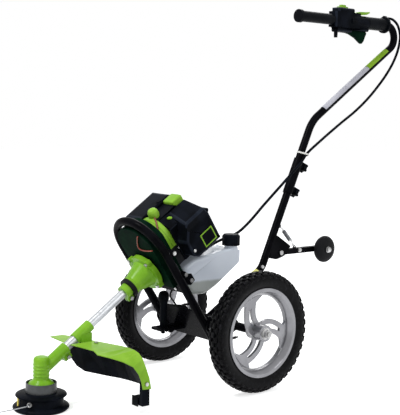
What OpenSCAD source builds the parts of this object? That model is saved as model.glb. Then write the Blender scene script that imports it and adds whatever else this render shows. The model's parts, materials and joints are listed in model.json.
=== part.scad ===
// Wheeled string trimmer: petrol engine and handle on a two-wheel axle, line head in front.
// Frame: +Z up, the head points along -Y, the machine's own left side is +X. Sizes in mm.

/* [Wheels] */
// Outside diameter of a road tyre
tyre_d = 362; // [352:2:372]
// Width of a road tyre
tyre_w = 54; // [44:1:64]
// Diameter over the rim flanges
rim_d = 266; // [220:2:300]
// Distance between the two wheel centre planes
track = 460; // [420:5:560]
// Diameter of the axle rod
axle_d = 15; // [12:1:20]
// Outside diameter of a hub bearing
bearing_d = 35; // [30:1:42]
// Width of a hub bearing
bearing_w = 11; // [8:1:14]

/* [Frame] */
// Outside diameter of the frame and handle tubes
frame_d = 25.4; // [22:0.2:28]
// Wall of the frame and handle tubes
frame_wall = 2; // [1.5:0.5:3]
// Half the distance between the two hoop legs
hoop_half = 104; // [98:1:115]
// Height of the arch centre along the leaning legs
arch_p = 489; // [470:1:510]
// Lean of the hoop and slope of the drive tube
tilt = 34.5; // [30:0.5:40]

/* [Drive] */
// Distance of the drive tube's axis from the frame origin, square to the tube
crank_p = 428; // [415:1:440]
// Outside diameter of the drive tube
tube_d = 26; // [24:1:30]
// Wall of the drive tube
tube_wall = 1.6; // [1:0.2:2.4]
// Diameter of the drive shaft
shaft_d = 8; // [6:0.5:10]
// Distance from the axle forward to the head's axis
head_reach = 601; // [560:1:640]
// Pinion teeth
pinion_teeth = 14; // [12:1:16]
// Spindle gear teeth
gear_teeth = 19; // [17:1:24]
// Length of a bevel tooth line, from the shared cone tip to the heel
cone_len = 27; // [24:0.5:28]

/* [Head] */
// Diameter of the lower flange
spool_d = 156; // [140:2:170]
// Diameter of the upper flange
upper_d = 142; // [130:2:156]
// Diameter of the waist that holds the eyelets
waist_d = 124; // [110:2:128]
// Diameter of the spindle
spindle_d = 16; // [12:1:18]
// Diameter of the cutting line
line_d = 3; // [2:0.2:4]

/* [Support arm] */
// Distance from the arm's pivot to its wheel
arm_len = 193; // [150:1:220]
// Width and height of the arm bar
arm_t = 18; // [14:1:22]
// Diameter of the support wheel
prop_d = 90; // [70:2:110]
// Width of the support wheel
prop_w = 34; // [24:1:40]

/* [Handle] */
// Height of the handle bar's axis
bar_z = 1142; // [1100:2:1180]
// Radius of the hook bend
hook_r = 44; // [38:1:52]
// Diameter of the front grip
grip_d = 36; // [32:1:40]
// Diameter of the rear grip
rear_grip_d = 44; // [40:1:46]

/* [Fits] */
// Gap between pieces that sit together
touch = 0.05; // [0.03:0.01:0.1]
// Radial gap of a running shaft
run = 0.06; // [0.03:0.01:0.1]
// Gap between moving faces
move = 0.3; // [0.3:0.1:0.6]

/* [Hidden] */
$fn = 64;
axle_z = tyre_d / 2;
tube_r = frame_d / 2;
hub_half = 30;
rim_r = rim_d / 2;
spoke_base = 118;
spoke_t = 9;
valve_at = 183;
leg_a = 25;
leg_low = 143;
cone_a = (-head_reach + crank_p * sin(tilt)) / cos(tilt);
cone_z = cone_a * sin(tilt) + crank_p * cos(tilt);
head_home = [601, 106.282];
head_move = [0, head_home[0] - head_reach, cone_z - head_home[1]];
shaft_angle = 90 - tilt;
pin_cone = atan(sin(shaft_angle) / (gear_teeth / pinion_teeth + cos(shaft_angle)));
gear_cone = shaft_angle - pin_cone;
tooth_m = 2 * cone_len * sin(pin_cone) / pinion_teeth;
neck_r = tube_d / 2 + 4.2;
neck_end = cone_a + 96;
sleeve_a0 = cone_a + 130;
sleeve_a1 = cone_a + 192;
bell_a0 = -72;
flange_a0 = -14;
face_a = 3;
fan_a0 = 8;
fan_a1 = 62;
case_a1 = 160;
weld = tube_r - 1.1;
start_a1 = 248;
fan_half = 80;
shroud_r = 66;
shroud_a1 = 94;
shroud_p = 464;
rib_h = 1.5;
boot_at = [6, 108];
deck_p = 542;
top_p = 557;
post_dir = 65.9;
post_low = [236, 344];
post_foot = post_at(-28);
sleeve_s0 = 238;
sleeve_s1 = 360;
joint_s = 300;
knob_low_s = 254;
knob_high_s = 343;
bar_dir = 33.9;
elbow = post_at(499);
elbow_r = 120;
foot_r = 60;
seam = 0.12;
bar_front = 366;
hook_lead = hook_r * (1 + cos(bar_dir)) / sin(bar_dir);
hook_y = elbow[0] + (bar_z - elbow[1]) / tan(bar_dir) - hook_lead;
pivot = [299, 367];
cap_at = [35, 57];
cap_z0 = 412.3;
knob_at = [-35, -150];
guard_z = 172;
guard_t = 3;
eye_angle = -61;
eye_z = 26;
cup_z = [48, 54, 75];
spool_z = [2, 16, 38, 48];
cable_r = 4.5;
cable_back = 872;
y_front = -head_reach - spool_d / 2;
y_rear = cable_back + cable_r;
y_shift = -(y_front + y_rear) / 2;

function unit(v) = v / norm(v);
function post_at(s) = post_low + s * [cos(post_dir), sin(post_dir)];
function spline(a, b, c, d, t) =
    0.5 * (2 * b + (c - a) * t + (2 * a - 5 * b + 4 * c - d) * t * t
           + (3 * b - a - 3 * c + d) * t * t * t);
function smooth(P, n) =
    let (m = len(P) - 1)
    [for (i = [0 : m - 1]) for (k = [0 : n - 1])
        spline(P[max(i - 1, 0)], P[i], P[i + 1], P[min(i + 2, m)], k / n), P[m]];
function way(P, i) = unit(P[min(i + 1, len(P) - 1)] - P[max(i - 1, 0)]);
function sides_of(P, i, last) =
    i >= len(P) ? [] :
    let (t = way(P, i), n = unit(last - (last * t) * t))
    concat([n], sides_of(P, i + 1, n));
function quad_faces(rings, n) =
    [for (i = [0 : rings - 2]) for (k = [0 : n - 1])
        let (a = i * n + k, b = i * n + (k + 1) % n)
        each [[a, b, a + n], [b, b + n, a + n]]];
function ring_ends(rings, n) =
    concat([[for (k = [n - 1 : -1 : 0]) k]], [[for (k = [0 : n - 1]) (rings - 1) * n + k]]);
function curve3(a, b, c, t) = (1 - t) * (1 - t) * a + 2 * t * (1 - t) * b + t * t * c;
function polar(r, w) = r * [cos(w), sin(w)];
function edge_of(P, w, side) =
    [for (i = [0 : len(P) - 1])
        let (d = unit(P[min(i + 1, len(P) - 1)] - P[max(i - 1, 0)]))
        P[i] + side * (w[0] + (w[1] - w[0]) * i / (len(P) - 1)) * [-d[1], d[0]]];
function turned(L) = [for (i = [len(L) - 1 : -1 : 0]) L[i]];
function gear_ring(teeth, m, up, down) =
    let (pitch = m * teeth / 2, step = 360 / teeth)
    [for (i = [0 : teeth - 1]) each [
        polar(pitch - down, (i - 0.30) * step), polar(pitch + up, (i - 0.10) * step),
        polar(pitch + up, (i + 0.10) * step), polar(pitch - down, (i + 0.30) * step)]];

module placed() { translate([0, y_shift, 0]) children(); }
module engine() { placed() rotate([tilt, 0, 0]) children(); }
module on_crank() { engine() translate([0, 0, crank_p]) rotate([-90, 0, 0]) children(); }
module at_guard() { placed() translate(head_move) children(); }
module on_head() { at_guard() translate([0, -head_home[0], 0]) children(); }
module on_wheel(side) {
    placed() translate([side * track / 2, 0, axle_z]) rotate([0, 0, side < 0 ? 180 : 0])
        rotate([0, 90, 0]) children();
}
module in_plane(y, z) { placed() translate([0, y, z]) children(); }
module box(x, y, z) {
    translate([x[0], y[0], z[0]]) cube([x[1] - x[0], y[1] - y[0], z[1] - z[0]]);
}
module rod_x(r, x0, x1) { translate([x0, 0, 0]) rotate([0, 90, 0]) cylinder(r = r, h = x1 - x0); }
module side_plate(x0, x1, outline) {
    translate([x0, 0, 0]) rotate([90, 0, 90]) linear_extrude(x1 - x0) polygon(outline);
}
module on_post(s) {
    p = post_at(s);
    in_plane(p[0], p[1]) rotate([post_dir - 90, 0, 0]) children();
}
module sweep(P, r, n) {
    first = way(P, 0);
    guess = abs(first[0]) < 0.9 ? [1, 0, 0] : [0, 0, 1];
    N = sides_of(P, 0, guess);
    pts = [for (i = [0 : len(P) - 1]) let (t = way(P, i), b = cross(t, N[i]))
        for (k = [0 : n - 1]) P[i] + r * (cos(360 * k / n) * N[i] + sin(360 * k / n) * b)];
    polyhedron(pts, concat(quad_faces(len(P), n), ring_ends(len(P), n)));
}

// Road wheels

module tyre(side) {
    r = axle_z;
    w = tyre_w / 2;
    b = rim_r - 7 + touch;
    f = 19 - touch;
    color("dimgray") on_wheel(side) {
        rotate_extrude($fn = 96) polygon([
            [b, -f], [rim_r + 1, -f], [rim_r + 7, -w + 3.5], [rim_r + 17, -w + 0.4], [r - 21, -w],
            [r - 13, -w + 1.5], [r - 6, -w + 7], [r - 2, -w + 15], [r, -w + 23], [r, w - 23],
            [r - 2, w - 15], [r - 6, w - 7], [r - 13, w - 1.5], [r - 21, w], [rim_r + 17, w - 0.4],
            [rim_r + 7, w - 3.5], [rim_r + 1, f], [b, f], [b, 13], [rim_r + 1, 13.5],
            [rim_r + 9, w - 8], [r - 29, w - 5], [r - 19, w - 5.5], [r - 13, w - 9], [r - 10, w - 19],
            [r - 10, 19 - w], [r - 13, 9 - w], [r - 19, 5.5 - w], [r - 29, 5 - w],
            [rim_r + 9, 8 - w], [rim_r + 1, -13.5], [b, -13]]);
        rotate(valve_at + 90) translate([rim_r - 46, 0, 0]) rotate([0, 90, 0]) {
            cylinder(r = 4, h = 31);
            translate([0, 0, -4]) cylinder(r = 2.6, h = 5);
        }
    }
}

module prong(r0, w0, r1, w1, r2, w2, wide) {
    P = [for (t = [0 : 0.1 : 1]) curve3(polar(r0, w0), polar(r1, w1), polar(r2, w2), t)];
    polygon(concat(edge_of(P, wide, 1), turned(edge_of(P, wide, -1))));
}

module rim(side) {
    seat = rim_r - 7;
    inner = rim_r - 23;
    color("silver") on_wheel(side) difference() {
        union() {
            rotate_extrude($fn = 96) polygon([
                [rim_r, -22.5], [rim_r, -19], [seat, -19], [seat, -12.5], [seat - 7, -9],
                [seat - 7, 9], [seat, 12.5], [seat, 19], [rim_r, 19], [rim_r, 22.5],
                [inner + 13, 22.5], [inner + 10.5, 20], [inner + 2, 10], [inner, 5],
                [inner, -5], [inner + 2, -10], [inner + 10.5, -20], [inner + 13, -22.5]]);
            translate([0, 0, -spoke_t / 2]) linear_extrude(spoke_t)
                for (k = [0 : 2]) rotate(k * 120 + spoke_base + 90) {
                    prong(18, 86, 64, 48, inner - 4, -2, [7, 8]);
                    prong(18, -28, 58, 12.6, inner - 6, -16, [7, 8]);
                    polygon(concat([for (w = [14 : -8 : -34]) polar(inner + 3, w)],
                        [polar(inner - 10, -25), polar(inner - 18, -17), polar(inner - 27, -10),
                        polar(inner - 27, 5), polar(inner - 14, 6)]));
                }
            translate([0, 0, -hub_half]) cylinder(r = bearing_d / 2 + 7, h = 2 * hub_half);
        }
        translate([0, 0, -hub_half - 1]) cylinder(r = axle_d / 2 + 3, h = 2 * hub_half + 2);
        for (s = [-1, 1]) translate([0, 0, s * (hub_half - bearing_w / 2 + 1)])
            cylinder(r = bearing_d / 2 + run, h = bearing_w + 2, center = true);
        rotate(valve_at + 90) translate([inner - 5, 0, 0]) rotate([0, 90, 0])
            cylinder(r = 4 + touch, h = 30);
    }
}

module hub_bearings() {
    color("gainsboro") for (side = [-1, 1]) on_wheel(side) for (s = [-1, 1])
        translate([0, 0, s * (hub_half - bearing_w / 2 + 0.1)]) difference() {
            cylinder(r = bearing_d / 2, h = bearing_w - 0.6, center = true);
            cylinder(r = axle_d / 2 + touch, h = bearing_w + 2, center = true);
        }
}

// Frame

module frame_hoop() {
    bore = tube_r - frame_wall;
    half = hoop_half - weld;
    side = fan_half + touch;
    color("black") difference() {
        union() {
            engine() translate([0, leg_a, 0]) difference() {
                union() {
                    for (s = [-1, 1]) translate([s * hoop_half, 0, leg_low])
                        cylinder(r = tube_r, h = arch_p - leg_low);
                    translate([0, 0, arch_p]) rotate([90, 0, 0]) rotate_extrude(angle = 180)
                        translate([hoop_half, 0]) circle(tube_r);
                }
                for (s = [-1, 1]) translate([s * hoop_half, 0, leg_low - 1])
                    cylinder(r = bore, h = arch_p - leg_low + 1);
                translate([0, 0, arch_p]) rotate([90, 0, 0]) rotate_extrude(angle = 180)
                    translate([hoop_half, 0]) circle(bore);
            }
            engine() box([-half, half], [23, 27], [338, 368 - touch]);
            engine() box([-half, half], [22, 26], [150, 268]);
            engine() for (s = [-1, 1]) mirror([s < 0 ? 1 : 0, 0, 0]) {
                box([side, half], [23, 27], [372, 400]);
                side_plate(side, side + 4,
                    [[24, 372], [24, 400], [38, 400], [80, 366], [80, 341], [60, 338]]);
                for (p = [396, 476]) box([side, hoop_half + 8], [leg_a + weld - 0.3, 50], [p - 8, p + 8]);
            }
            placed() box([knob_at[0] - 25, knob_at[0] + 25], [-176, -82], [158, 166]);
        }
        placed() translate([knob_at[0], knob_at[1], 150]) cylinder(r = 6 + run, h = 30);
    }
}

module clamp_knob() {
    color("black") placed() translate([knob_at[0], knob_at[1], 0]) rotate_extrude() polygon([
        [0, 146], [6, 146], [6, 166 + move], [11, 166 + move], [11, 238], [14, 246], [16.5, 254],
        [17, 262], [15, 270], [11, 275], [5, 278], [0, 278]]);
}

module axle_tube() {
    end = track / 2 - hub_half - 2 - move;
    in = hoop_half + tube_r + touch;
    color("black") difference() {
        union() {
            in_plane(0, axle_z) rod_x(tube_r, -end, end);
            for (s = [-1, 1]) engine() translate([s > 0 ? in : -in - 5, 0, 0])
                side_plate(0, 5, [[12, 142], [12, 210], [38, 240], [118, 166], [122, 148], [108, 130]]);
        }
        in_plane(0, axle_z) rod_x(axle_d / 2 + touch, -track, track);
        engine() for (p = [158, 205]) translate([0, leg_a, p]) rod_x(4 + touch, -track, track);
    }
}

module axle_shaft() {
    color("silver") in_plane(0, axle_z) rod_x(axle_d / 2, -track / 2 - 48, track / 2 + 48);
}

// Post, handle and support arm

module along(p, angle) {
    in_plane(p[0], p[1]) rotate([angle - 90, 0, 0]) children();
}
// A straight run whose ends carry a hair-thick band over the seam with the next bend
module straight(p, angle, r, h, first, last) {
    along(p, angle) {
        cylinder(r = r, h = h);
        if (first) translate([0, 0, -1.5]) cylinder(r = r + seam, h = 3);
        if (last) translate([0, 0, h - 1.5]) cylinder(r = r + seam, h = 3);
    }
}
module bend(c, from, turn, big, r) {
    in_plane(c[0], c[1]) rotate([90, 0, 90]) rotate(from)
        rotate_extrude(angle = turn) translate([big, 0]) circle(r);
}
module bent(r) {
    foot = unit(post_foot - [0, axle_z]);
    lower = atan2(foot[1], foot[0]);
    turn = post_dir - lower;
    lead = foot_r * tan(turn / 2);
    run_low = norm(post_foot - [0, axle_z]) - lead;
    run_up = norm(post_at(joint_s - 1) - post_foot) - lead;
    straight([0, axle_z], lower, r, run_low, false, true);
    bend([0, axle_z] + run_low * foot + foot_r * [-foot[1], foot[0]], lower - 90, turn, foot_r, r);
    straight(post_foot + lead * [cos(post_dir), sin(post_dir)], post_dir, r, run_up, true, false);
}

module lower_post() {
    out = arm_t / 2 + move;
    color("black") difference() {
        union() {
            difference() {
                bent(tube_r);
                bent(tube_r - frame_wall);
            }
            difference() {
                placed() {
                    for (x = [out, -out - 3]) side_plate(x, x + 3,
                        [[250, 352], [266, 425], [282, 425], [345, 386], [318, 356], [300, 350], [280, 346]]);
                    box([-out - 1, out + 1], [316, 330], [pivot[1] + out, pivot[1] + out + 4]);
                    side_plate(-1, 1, [[280, 442], [290, 464], [306, 459], [309, 454], [306, 449]]);
                }
                on_post(-40) cylinder(r = tube_r - 1, h = 300);
            }
        }
        in_plane(0, axle_z) rod_x(tube_r + touch, -40, 40);
        in_plane(pivot[0], pivot[1]) rod_x(5 + touch, -40, 40);
        in_plane(spring_top[1], spring_top[2]) rod_x(2.3, -5, 5);
        on_post(knob_low_s) rotate([90, 0, 180]) cylinder(r = 4 + run, h = 30);
    }
}

module post_sleeve() {
    color("black") difference() {
        on_post(sleeve_s0) cylinder(r = tube_r + 3.5, h = sleeve_s1 - sleeve_s0);
        on_post(sleeve_s0 - 1) cylinder(r = tube_r + touch, h = sleeve_s1 - sleeve_s0 + 2);
        for (s = [knob_low_s, knob_high_s]) on_post(s) rotate([90, 0, 180]) cylinder(r = 4 + run, h = 40);
    }
}

module star_knob(s) {
    color("black") on_post(s) rotate([90, 0, 180]) {
        cylinder(r = 4, h = 24);
        translate([0, 0, tube_r + 3.5 + move]) cylinder(r = 8, h = 9);
        translate([0, 0, tube_r + 11]) cylinder(r = 13, h = 13);
        for (k = [0 : 4]) rotate(k * 72) translate([13.5, 0, tube_r + 11]) cylinder(r = 4.5, h = 13);
    }
}

module hooked(r) {
    turn = post_dir - bar_dir;
    lead = elbow_r * tan(turn / 2);
    d1 = [cos(post_dir), sin(post_dir)];
    d2 = [cos(bar_dir), sin(bar_dir)];
    low = post_at(joint_s + 1);
    from = elbow + lead * d2;
    hook = [hook_y, bar_z - hook_r];
    straight(low, post_dir, r, norm(elbow - low) - lead, false, true);
    bend(elbow - lead * d1 + elbow_r * [d1[1], -d1[0]], bar_dir + 90, turn, elbow_r, r);
    straight(from, bar_dir, r, norm(hook + hook_r * [d2[1], -d2[0]] - from), true, true);
    bend(hook, bar_dir - 90, 180 - bar_dir, hook_r, r);
    straight([hook_y, bar_z], 180, r, hook_y - bar_front, true, false);
}

module handle_tube() {
    color("black") difference() {
        hooked(tube_r);
        hooked(tube_r - frame_wall);
        on_post(knob_high_s) rotate([90, 0, 180]) cylinder(r = 4 + run, h = 30);
    }
}

module support_arm() {
    h = arm_t / 2;
    x0 = h + 2;
    color("black") in_plane(pivot[0], pivot[1]) difference() {
        union() {
            box([-h, h], [0, arm_len], [-h, h]);
            rod_x(h, -h, h);
            translate([0, arm_len, 0]) rod_x(h, -h, h);
            translate([0, arm_len, 0]) {
                rod_x(5, -h - 4, x0 + prop_w + 2);
                rod_x(8, h - 1, x0 - move);
                translate([x0 + prop_w + move, 0, 0]) rotate([0, 90, 0]) cylinder(r = 8, h = 5, $fn = 6);
            }
            side_plate(-1, 1, [[68, h - 1], [71, h + 7], [74, h + 9], [78, h + 9], [81, h + 6], [84, h - 1]]);
        }
        rod_x(5 + run, -30, 30);
        translate([0, 76, h + 4.5]) rod_x(2.3, -5, 5);
    }
}

module prop_wheel() {
    r = prop_d / 2;
    x0 = arm_t / 2 + 2;
    color("dimgray") in_plane(pivot[0] + arm_len, pivot[1]) translate([x0, 0, 0]) rotate([0, 90, 0])
        rotate_extrude() polygon([[5 + run, 0], [r - 20, 0], [r - 12, 2], [r - 4, 7], [r, 13],
            [r, prop_w - 13], [r - 4, prop_w - 7], [r - 12, prop_w - 2], [r - 20, prop_w],
            [5 + run, prop_w]]);
}

// Tension spring of the support arm: straight wire, curls, straight wire, a hook at each end
coil_r = 5.6;
wire_r = 1.1;
coil_n = 13;
spring_top = [0, 303.5, 454];
spring_low = [0, pivot[0] + 76, pivot[1] + arm_t / 2 + 4.5];
spring_dir = unit(spring_low - spring_top);
spring_out = [0, -spring_dir[2], spring_dir[1]];
spring_len = norm(spring_low - spring_top);
curl_from = 24;
curl_to = spring_len - 30;
spring_path = concat(
    [for (w = [200 : -40 : 40]) spring_top + 5 * (cos(w) * [1, 0, 0] - sin(w) * spring_dir) + 5 * spring_dir],
    [spring_top + spring_dir * 14, spring_top + spring_dir * (curl_from - 3)],
    [for (i = [0 : coil_n * 8])
        spring_top + spring_dir * (curl_from + (curl_to - curl_from) * i / (coil_n * 8))
        + coil_r * (cos(i * 45) * [1, 0, 0] + sin(i * 45) * spring_out)],
    [spring_top + spring_dir * (curl_to + 3), spring_low - spring_dir * 14],
    [for (w = [40 : 40 : 200]) spring_low + 5 * (cos(w) * [1, 0, 0] + sin(w) * spring_dir) - 5 * spring_dir]);
echo(spring_gap = (curl_to - curl_from) / coil_n - 2 * wire_r);

module arm_spring() {
    color("gray") placed() sweep(spring_path, wire_r, 6);
}

// Drive line and gear head

module drive_tube() {
    color("gainsboro") on_crank() translate([0, 0, cone_a + 49]) difference() {
        cylinder(r = tube_d / 2, h = bell_a0 + 24 - cone_a - 49);
        translate([0, 0, -1]) cylinder(r = tube_d / 2 - tube_wall, h = 500);
    }
}

module drive_shaft() {
    color("silver") on_crank() {
        translate([0, 0, cone_a + 22]) cylinder(r = shaft_d / 2, h = -36 - cone_a - 22);
        translate([0, 0, cone_a]) rotate(-90) bevel(pinion_teeth, pin_cone, 7, 12);
    }
}

module bevel(teeth, cone, hub_r, hub_h) {
    far = cone_len * cos(cone);
    near = far * 0.64;
    up = 0.75 * tooth_m;
    down = 1.15 * tooth_m;
    translate([0, 0, far]) mirror([0, 0, 1]) linear_extrude(far - near, scale = near / far)
        polygon(gear_ring(teeth, tooth_m, up, down));
    translate([0, 0, far - 0.5]) cylinder(r = hub_r, h = hub_h);
}

module shaft_bearings() {
    a0 = cone_a + cone_len * cos(pin_cone) + 0.8;
    color("gainsboro") {
        on_crank() for (a = [cone_a + 70, cone_a + 190, cone_a + 300]) translate([0, 0, a]) difference() {
            cylinder(r = tube_d / 2 - tube_wall - touch, h = 16);
            translate([0, 0, -1]) cylinder(r = shaft_d / 2 + run, h = 20);
        }
        on_crank() translate([0, 0, a0]) difference() {
            cylinder(r = tube_d / 2, h = 10);
            translate([0, 0, -1]) cylinder(r = 7 + run, h = 12);
        }
        on_head() for (z = [64, 84]) translate([0, 0, z]) difference() {
            cylinder(r = 19 - touch, h = 11);
            translate([0, 0, -1]) cylinder(r = spindle_d / 2 + run, h = 20);
        }
    }
}

module gear_case() {
    color("yellowgreen") difference() {
        union() {
            on_head() rotate_extrude() polygon([[0, 60], [38, 60], [38, 66], [32, 76], [24, 82], [22, 86],
                [22, 92], [23, 93], [23, 95], [22, 96], [22, 102], [23, 103], [23, 105], [22, 106],
                [22, 112], [23, 113], [23, 115], [22, 116], [22, 122], [23, 123], [23, 125], [22, 126],
                [22, 138], [20, 143], [16, 146], [0, 146]]);
            on_crank() translate([0, 0, cone_a + 12]) cylinder(r = neck_r, h = neck_end - cone_a - 12);
            engine() box([-12, 12], [neck_end - 26, neck_end - 2], [crank_p - neck_r - 10, crank_p - 10]);
        }
        on_head() translate([0, 0, 50]) cylinder(r = 19, h = 90);
        on_crank() translate([0, 0, cone_a]) cylinder(r = tube_d / 2 + touch, h = 120);
        engine() translate([0, neck_end - 14, crank_p - neck_r - 4]) rod_x(3 + touch, -40, 40);
        engine() box([-1.2, 1.2], [neck_end - 30, neck_end + 5], [crank_p - neck_r - 15, crank_p - 8]);
    }
}

module spindle() {
    r = spindle_d / 2;
    color("silver") on_head() {
        rotate_extrude() polygon([[0, 30], [r, 30], [r, 97], [5, 99], [5, 137], [0, 137]]);
        translate([0, 0, head_home[1]]) rotate(90 + 180 / gear_teeth) bevel(gear_teeth, gear_cone, 9, 3);
    }
}

module drive_cup() {
    color("gray") on_head() difference() {
        translate([0, 0, cup_z[0]]) cylinder(r = 43, h = cup_z[2] - cup_z[0]);
        translate([0, 0, cup_z[1]]) cylinder(r = 40, h = 40);
        translate([0, 0, 40]) cylinder(r = spindle_d / 2 + touch, h = 20);
    }
}

module spool_body() {
    w = waist_d / 2;
    u = upper_d / 2;
    z = spool_z;
    color("black") on_head() difference() {
        rotate_extrude() polygon([[30, z[1]], [w + 2, z[1]], [w, z[1] + 4], [w, z[2] - 4], [w + 2, z[2] - 1],
            [u - 2, z[2]], [u, z[2] + 2], [u - 1, z[2] + 5], [u - 14, z[3] - touch],
            [spindle_d / 2 + touch, z[3] - touch], [spindle_d / 2 + touch, 29], [30, 29]]);
        for (k = [0, 180]) rotate(eye_angle + k) translate([48, 0, eye_z]) rotate([0, 90, 0])
            cylinder(r = 7 + touch, h = 40);
    }
}

module spool_cover() {
    r = spool_d / 2;
    z = spool_z;
    color("black") on_head() rotate_extrude() polygon([[26, z[0]], [r - 12, 0], [r - 5, 0], [r, 5], [r, 9],
        [r - 3, 12], [r - 10, z[1] - touch], [28, z[1] - touch], [28, z[0] + 6], [26, z[0] + 6]]);
}

module bump_knob() {
    color("black") on_head() rotate_extrude() polygon([[0, 1.5], [18, 1.5], [25.5, 4], [25.5, 8.5],
        [27.5, 8.5], [27.5, 14], [12, 14], [12, 20], [0, 20]]);
}

module eyelets() {
    color("silver") on_head() for (k = [0, 180]) rotate(eye_angle + k) translate([48.5, 0, eye_z])
        rotate([0, 90, 0]) difference() {
            union() {
                cylinder(r = 7, h = 14);
                translate([0, 0, 13.6]) cylinder(r = 6, h = 3.4);
            }
            translate([0, 0, 4]) cylinder(r = line_d / 2 + 0.8, h = 20);
            translate([0, 0, 14.5]) cylinder(r1 = line_d / 2 + 0.8, r2 = 5, h = 3);
        }
}

line_from = [polar(60, eye_angle)[0], polar(60, eye_angle)[1] - head_home[0], eye_z];
line_path = [line_from, line_from + [4, -7, 0], line_from + [7, -16, -0.5], line_from + [7, -30, -1],
    line_from + [5, -46, -2], line_from + [2, -62, -3], line_from + [-1, -78, -4],
    line_from + [-4, -94, -5], line_from + [-6, -108, -6]];

module cutting_line() {
    color("lightgray") at_guard() sweep(smooth(line_path, 2), line_d / 2, 8);
}

// Guard

module ribbon(S, t) {
    pts = [for (s = S) each [s[0], s[1], s[1] + t * s[2], s[0] + t * s[2]]];
    polyhedron(pts, concat([for (f = quad_faces(len(S), 4)) turned(f)],
        [for (f = ring_ends(len(S), 4)) turned(f)]));
}

slot = tube_d / 2 + 4;
down = [0, 0, -1];
guard_path = [
    [[-100, -512, guard_z], [-96, -470, guard_z], down],
    [[-slot - 0.2, -518, guard_z], [-slot - 0.2, -448, guard_z], down],
    [[-slot, -462, guard_z], [-slot, -448, guard_z], down],
    [[slot, -462, guard_z], [slot, -438, guard_z], down],
    [[slot + 0.2, -518, guard_z], [slot + 0.2, -438, guard_z], down],
    [[60, -510, guard_z], [60, -426, guard_z], down],
    [[110, -504, guard_z], [112, -411, guard_z], down],
    [[140, -512, 168], [142, -408, guard_z], down],
    [[168, -492, 163], [168, -408, guard_z - 1], [-0.1, 0, -1]],
    [[194, -466, 153], [190, -409, 167], [-0.35, 0, -0.94]],
    [[212, -444, 139], [206, -408, 154], [-0.7, 0, -0.7]],
    [[221, -432, 118], [216, -404, 132], [-0.94, 0, -0.3]],
    [[224, -424, 96], [224, -398, 104], [-1, 0, 0]],
    [[224, -419, 74], [224, -391, 72], [-1, 0, 0]]];

module guard_shell() {
    color("yellowgreen") at_guard() ribbon(guard_path, guard_t);
}

skirt_top = guard_z - guard_t - touch;
skirt_path = [
    [[-70, -474, skirt_top], [-76, -458, 112], [0, -1, 0]],
    [[-50, -470, skirt_top], [-60, -444, 84], [0, -1, 0]],
    [[-20, -462, skirt_top], [-36, -432, 71], [0.1, -1, 0]],
    [[40, -444, skirt_top], [36, -404, 69], [0.25, -0.97, 0]],
    [[84, -431, skirt_top], [78, -388, 69], [0.2, -0.98, 0]],
    [[120, -422, skirt_top], [116, -381, 69], [0.05, -1, 0]],
    [[150, -420, skirt_top - 1], [150, -380, 70], [-0.1, -1, 0]],
    [[176, -422, skirt_top - 6], [180, -386, 73], [-0.3, -0.95, 0]],
    [[190, -425, skirt_top - 16], [200, -394, 78], [-0.5, -0.87, 0]]];

module guard_skirt() {
    color("black") at_guard() ribbon(skirt_path, guard_t);
}

module guard_clamp() {
    h = tube_d / 2 + 4;
    color("yellowgreen") difference() {
        union() {
            on_crank() translate([0, 0, sleeve_a0]) cylinder(r = h, h = sleeve_a1 - sleeve_a0);
            at_guard() box([-h, h], [-482, -446], [guard_z + touch, guard_z + 24]);
        }
        on_crank() translate([0, 0, sleeve_a0 - 60]) cylinder(r = tube_d / 2 + touch, h = 200);
    }
}

module cutter() {
    color("black") at_guard() difference() {
        union() {
            box([206, 221 - touch], [-418, -394], [26, 92]);
            box([172, 207], [-418, -394], [26, 46]);
        }
        box([190, 204], [-430, -402], [32, 41]);
    }
    color("silver") at_guard() box([176, 203], [-421 - touch, -418 - touch], [22, 50]);
}

// Clutch housing and engine

module tube_collar() {
    color("yellowgreen") difference() {
        union() {
            on_crank() translate([0, 0, bell_a0 - 32]) cylinder(r = 21, h = 20 - touch);
            engine() box([-9, 9], [bell_a0 - 32, bell_a0 - 12 - touch], [crank_p - 30, crank_p - 14]);
        }
        on_crank() translate([0, 0, bell_a0 - 40]) cylinder(r = tube_d / 2 + touch, h = 40);
        engine() translate([0, bell_a0 - 22, crank_p - 25]) rod_x(3 + touch, -30, 30);
        engine() box([-1, 1], [bell_a0 - 40, bell_a0], [crank_p - 35, crank_p - 12]);
    }
}

module bell_ring() {
    color("black") on_crank() translate([0, 0, bell_a0 - 12]) difference() {
        cylinder(r = 30, h = 12 - touch);
        translate([0, 0, -1]) cylinder(r = tube_d / 2 + touch, h = 20);
    }
}

module bell_housing() {
    color("yellowgreen") on_crank() difference() {
        union() {
            rotate_extrude() polygon([[0, bell_a0], [28, bell_a0], [29.5, bell_a0 + 2], [29.5, bell_a0 + 7],
                [28.5, bell_a0 + 9], [42, flange_a0 - 2], [44, flange_a0 + 1.5],
                [58, flange_a0 + 1.5], [58, face_a], [0, face_a]]);
            for (k = [0 : 3]) rotate(45 + k * 90) translate([57, 0, flange_a0])
                cylinder(r = 9, h = face_a - flange_a0 - 1.5);
        }
        rotate_extrude() polygon([[0, -46], [26, -46], [33.5, -37], [38, -18], [38, face_a + 1],
            [0, face_a + 1]]);
        translate([0, 0, bell_a0 - 1]) cylinder(r = tube_d / 2 + touch, h = 25);
        translate([0, 0, bell_a0 + 23]) cylinder(r = 14, h = 5);
        for (k = [0 : 3]) rotate(45 + k * 90) translate([57, 0, flange_a0 - 1])
            cylinder(r = 3 + touch, h = 30);
    }
}

module clutch_drum() {
    color("gray") on_crank() difference() {
        union() {
            translate([0, 0, -35]) cylinder(r = 32, h = 29);
            translate([0, 0, -46]) cylinder(r = 9, h = 12);
        }
        translate([0, 0, -31]) cylinder(r = 29.5, h = 40);
        translate([0, 0, -60]) cylinder(r = shaft_d / 2 + touch, h = 40);
    }
}

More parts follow.
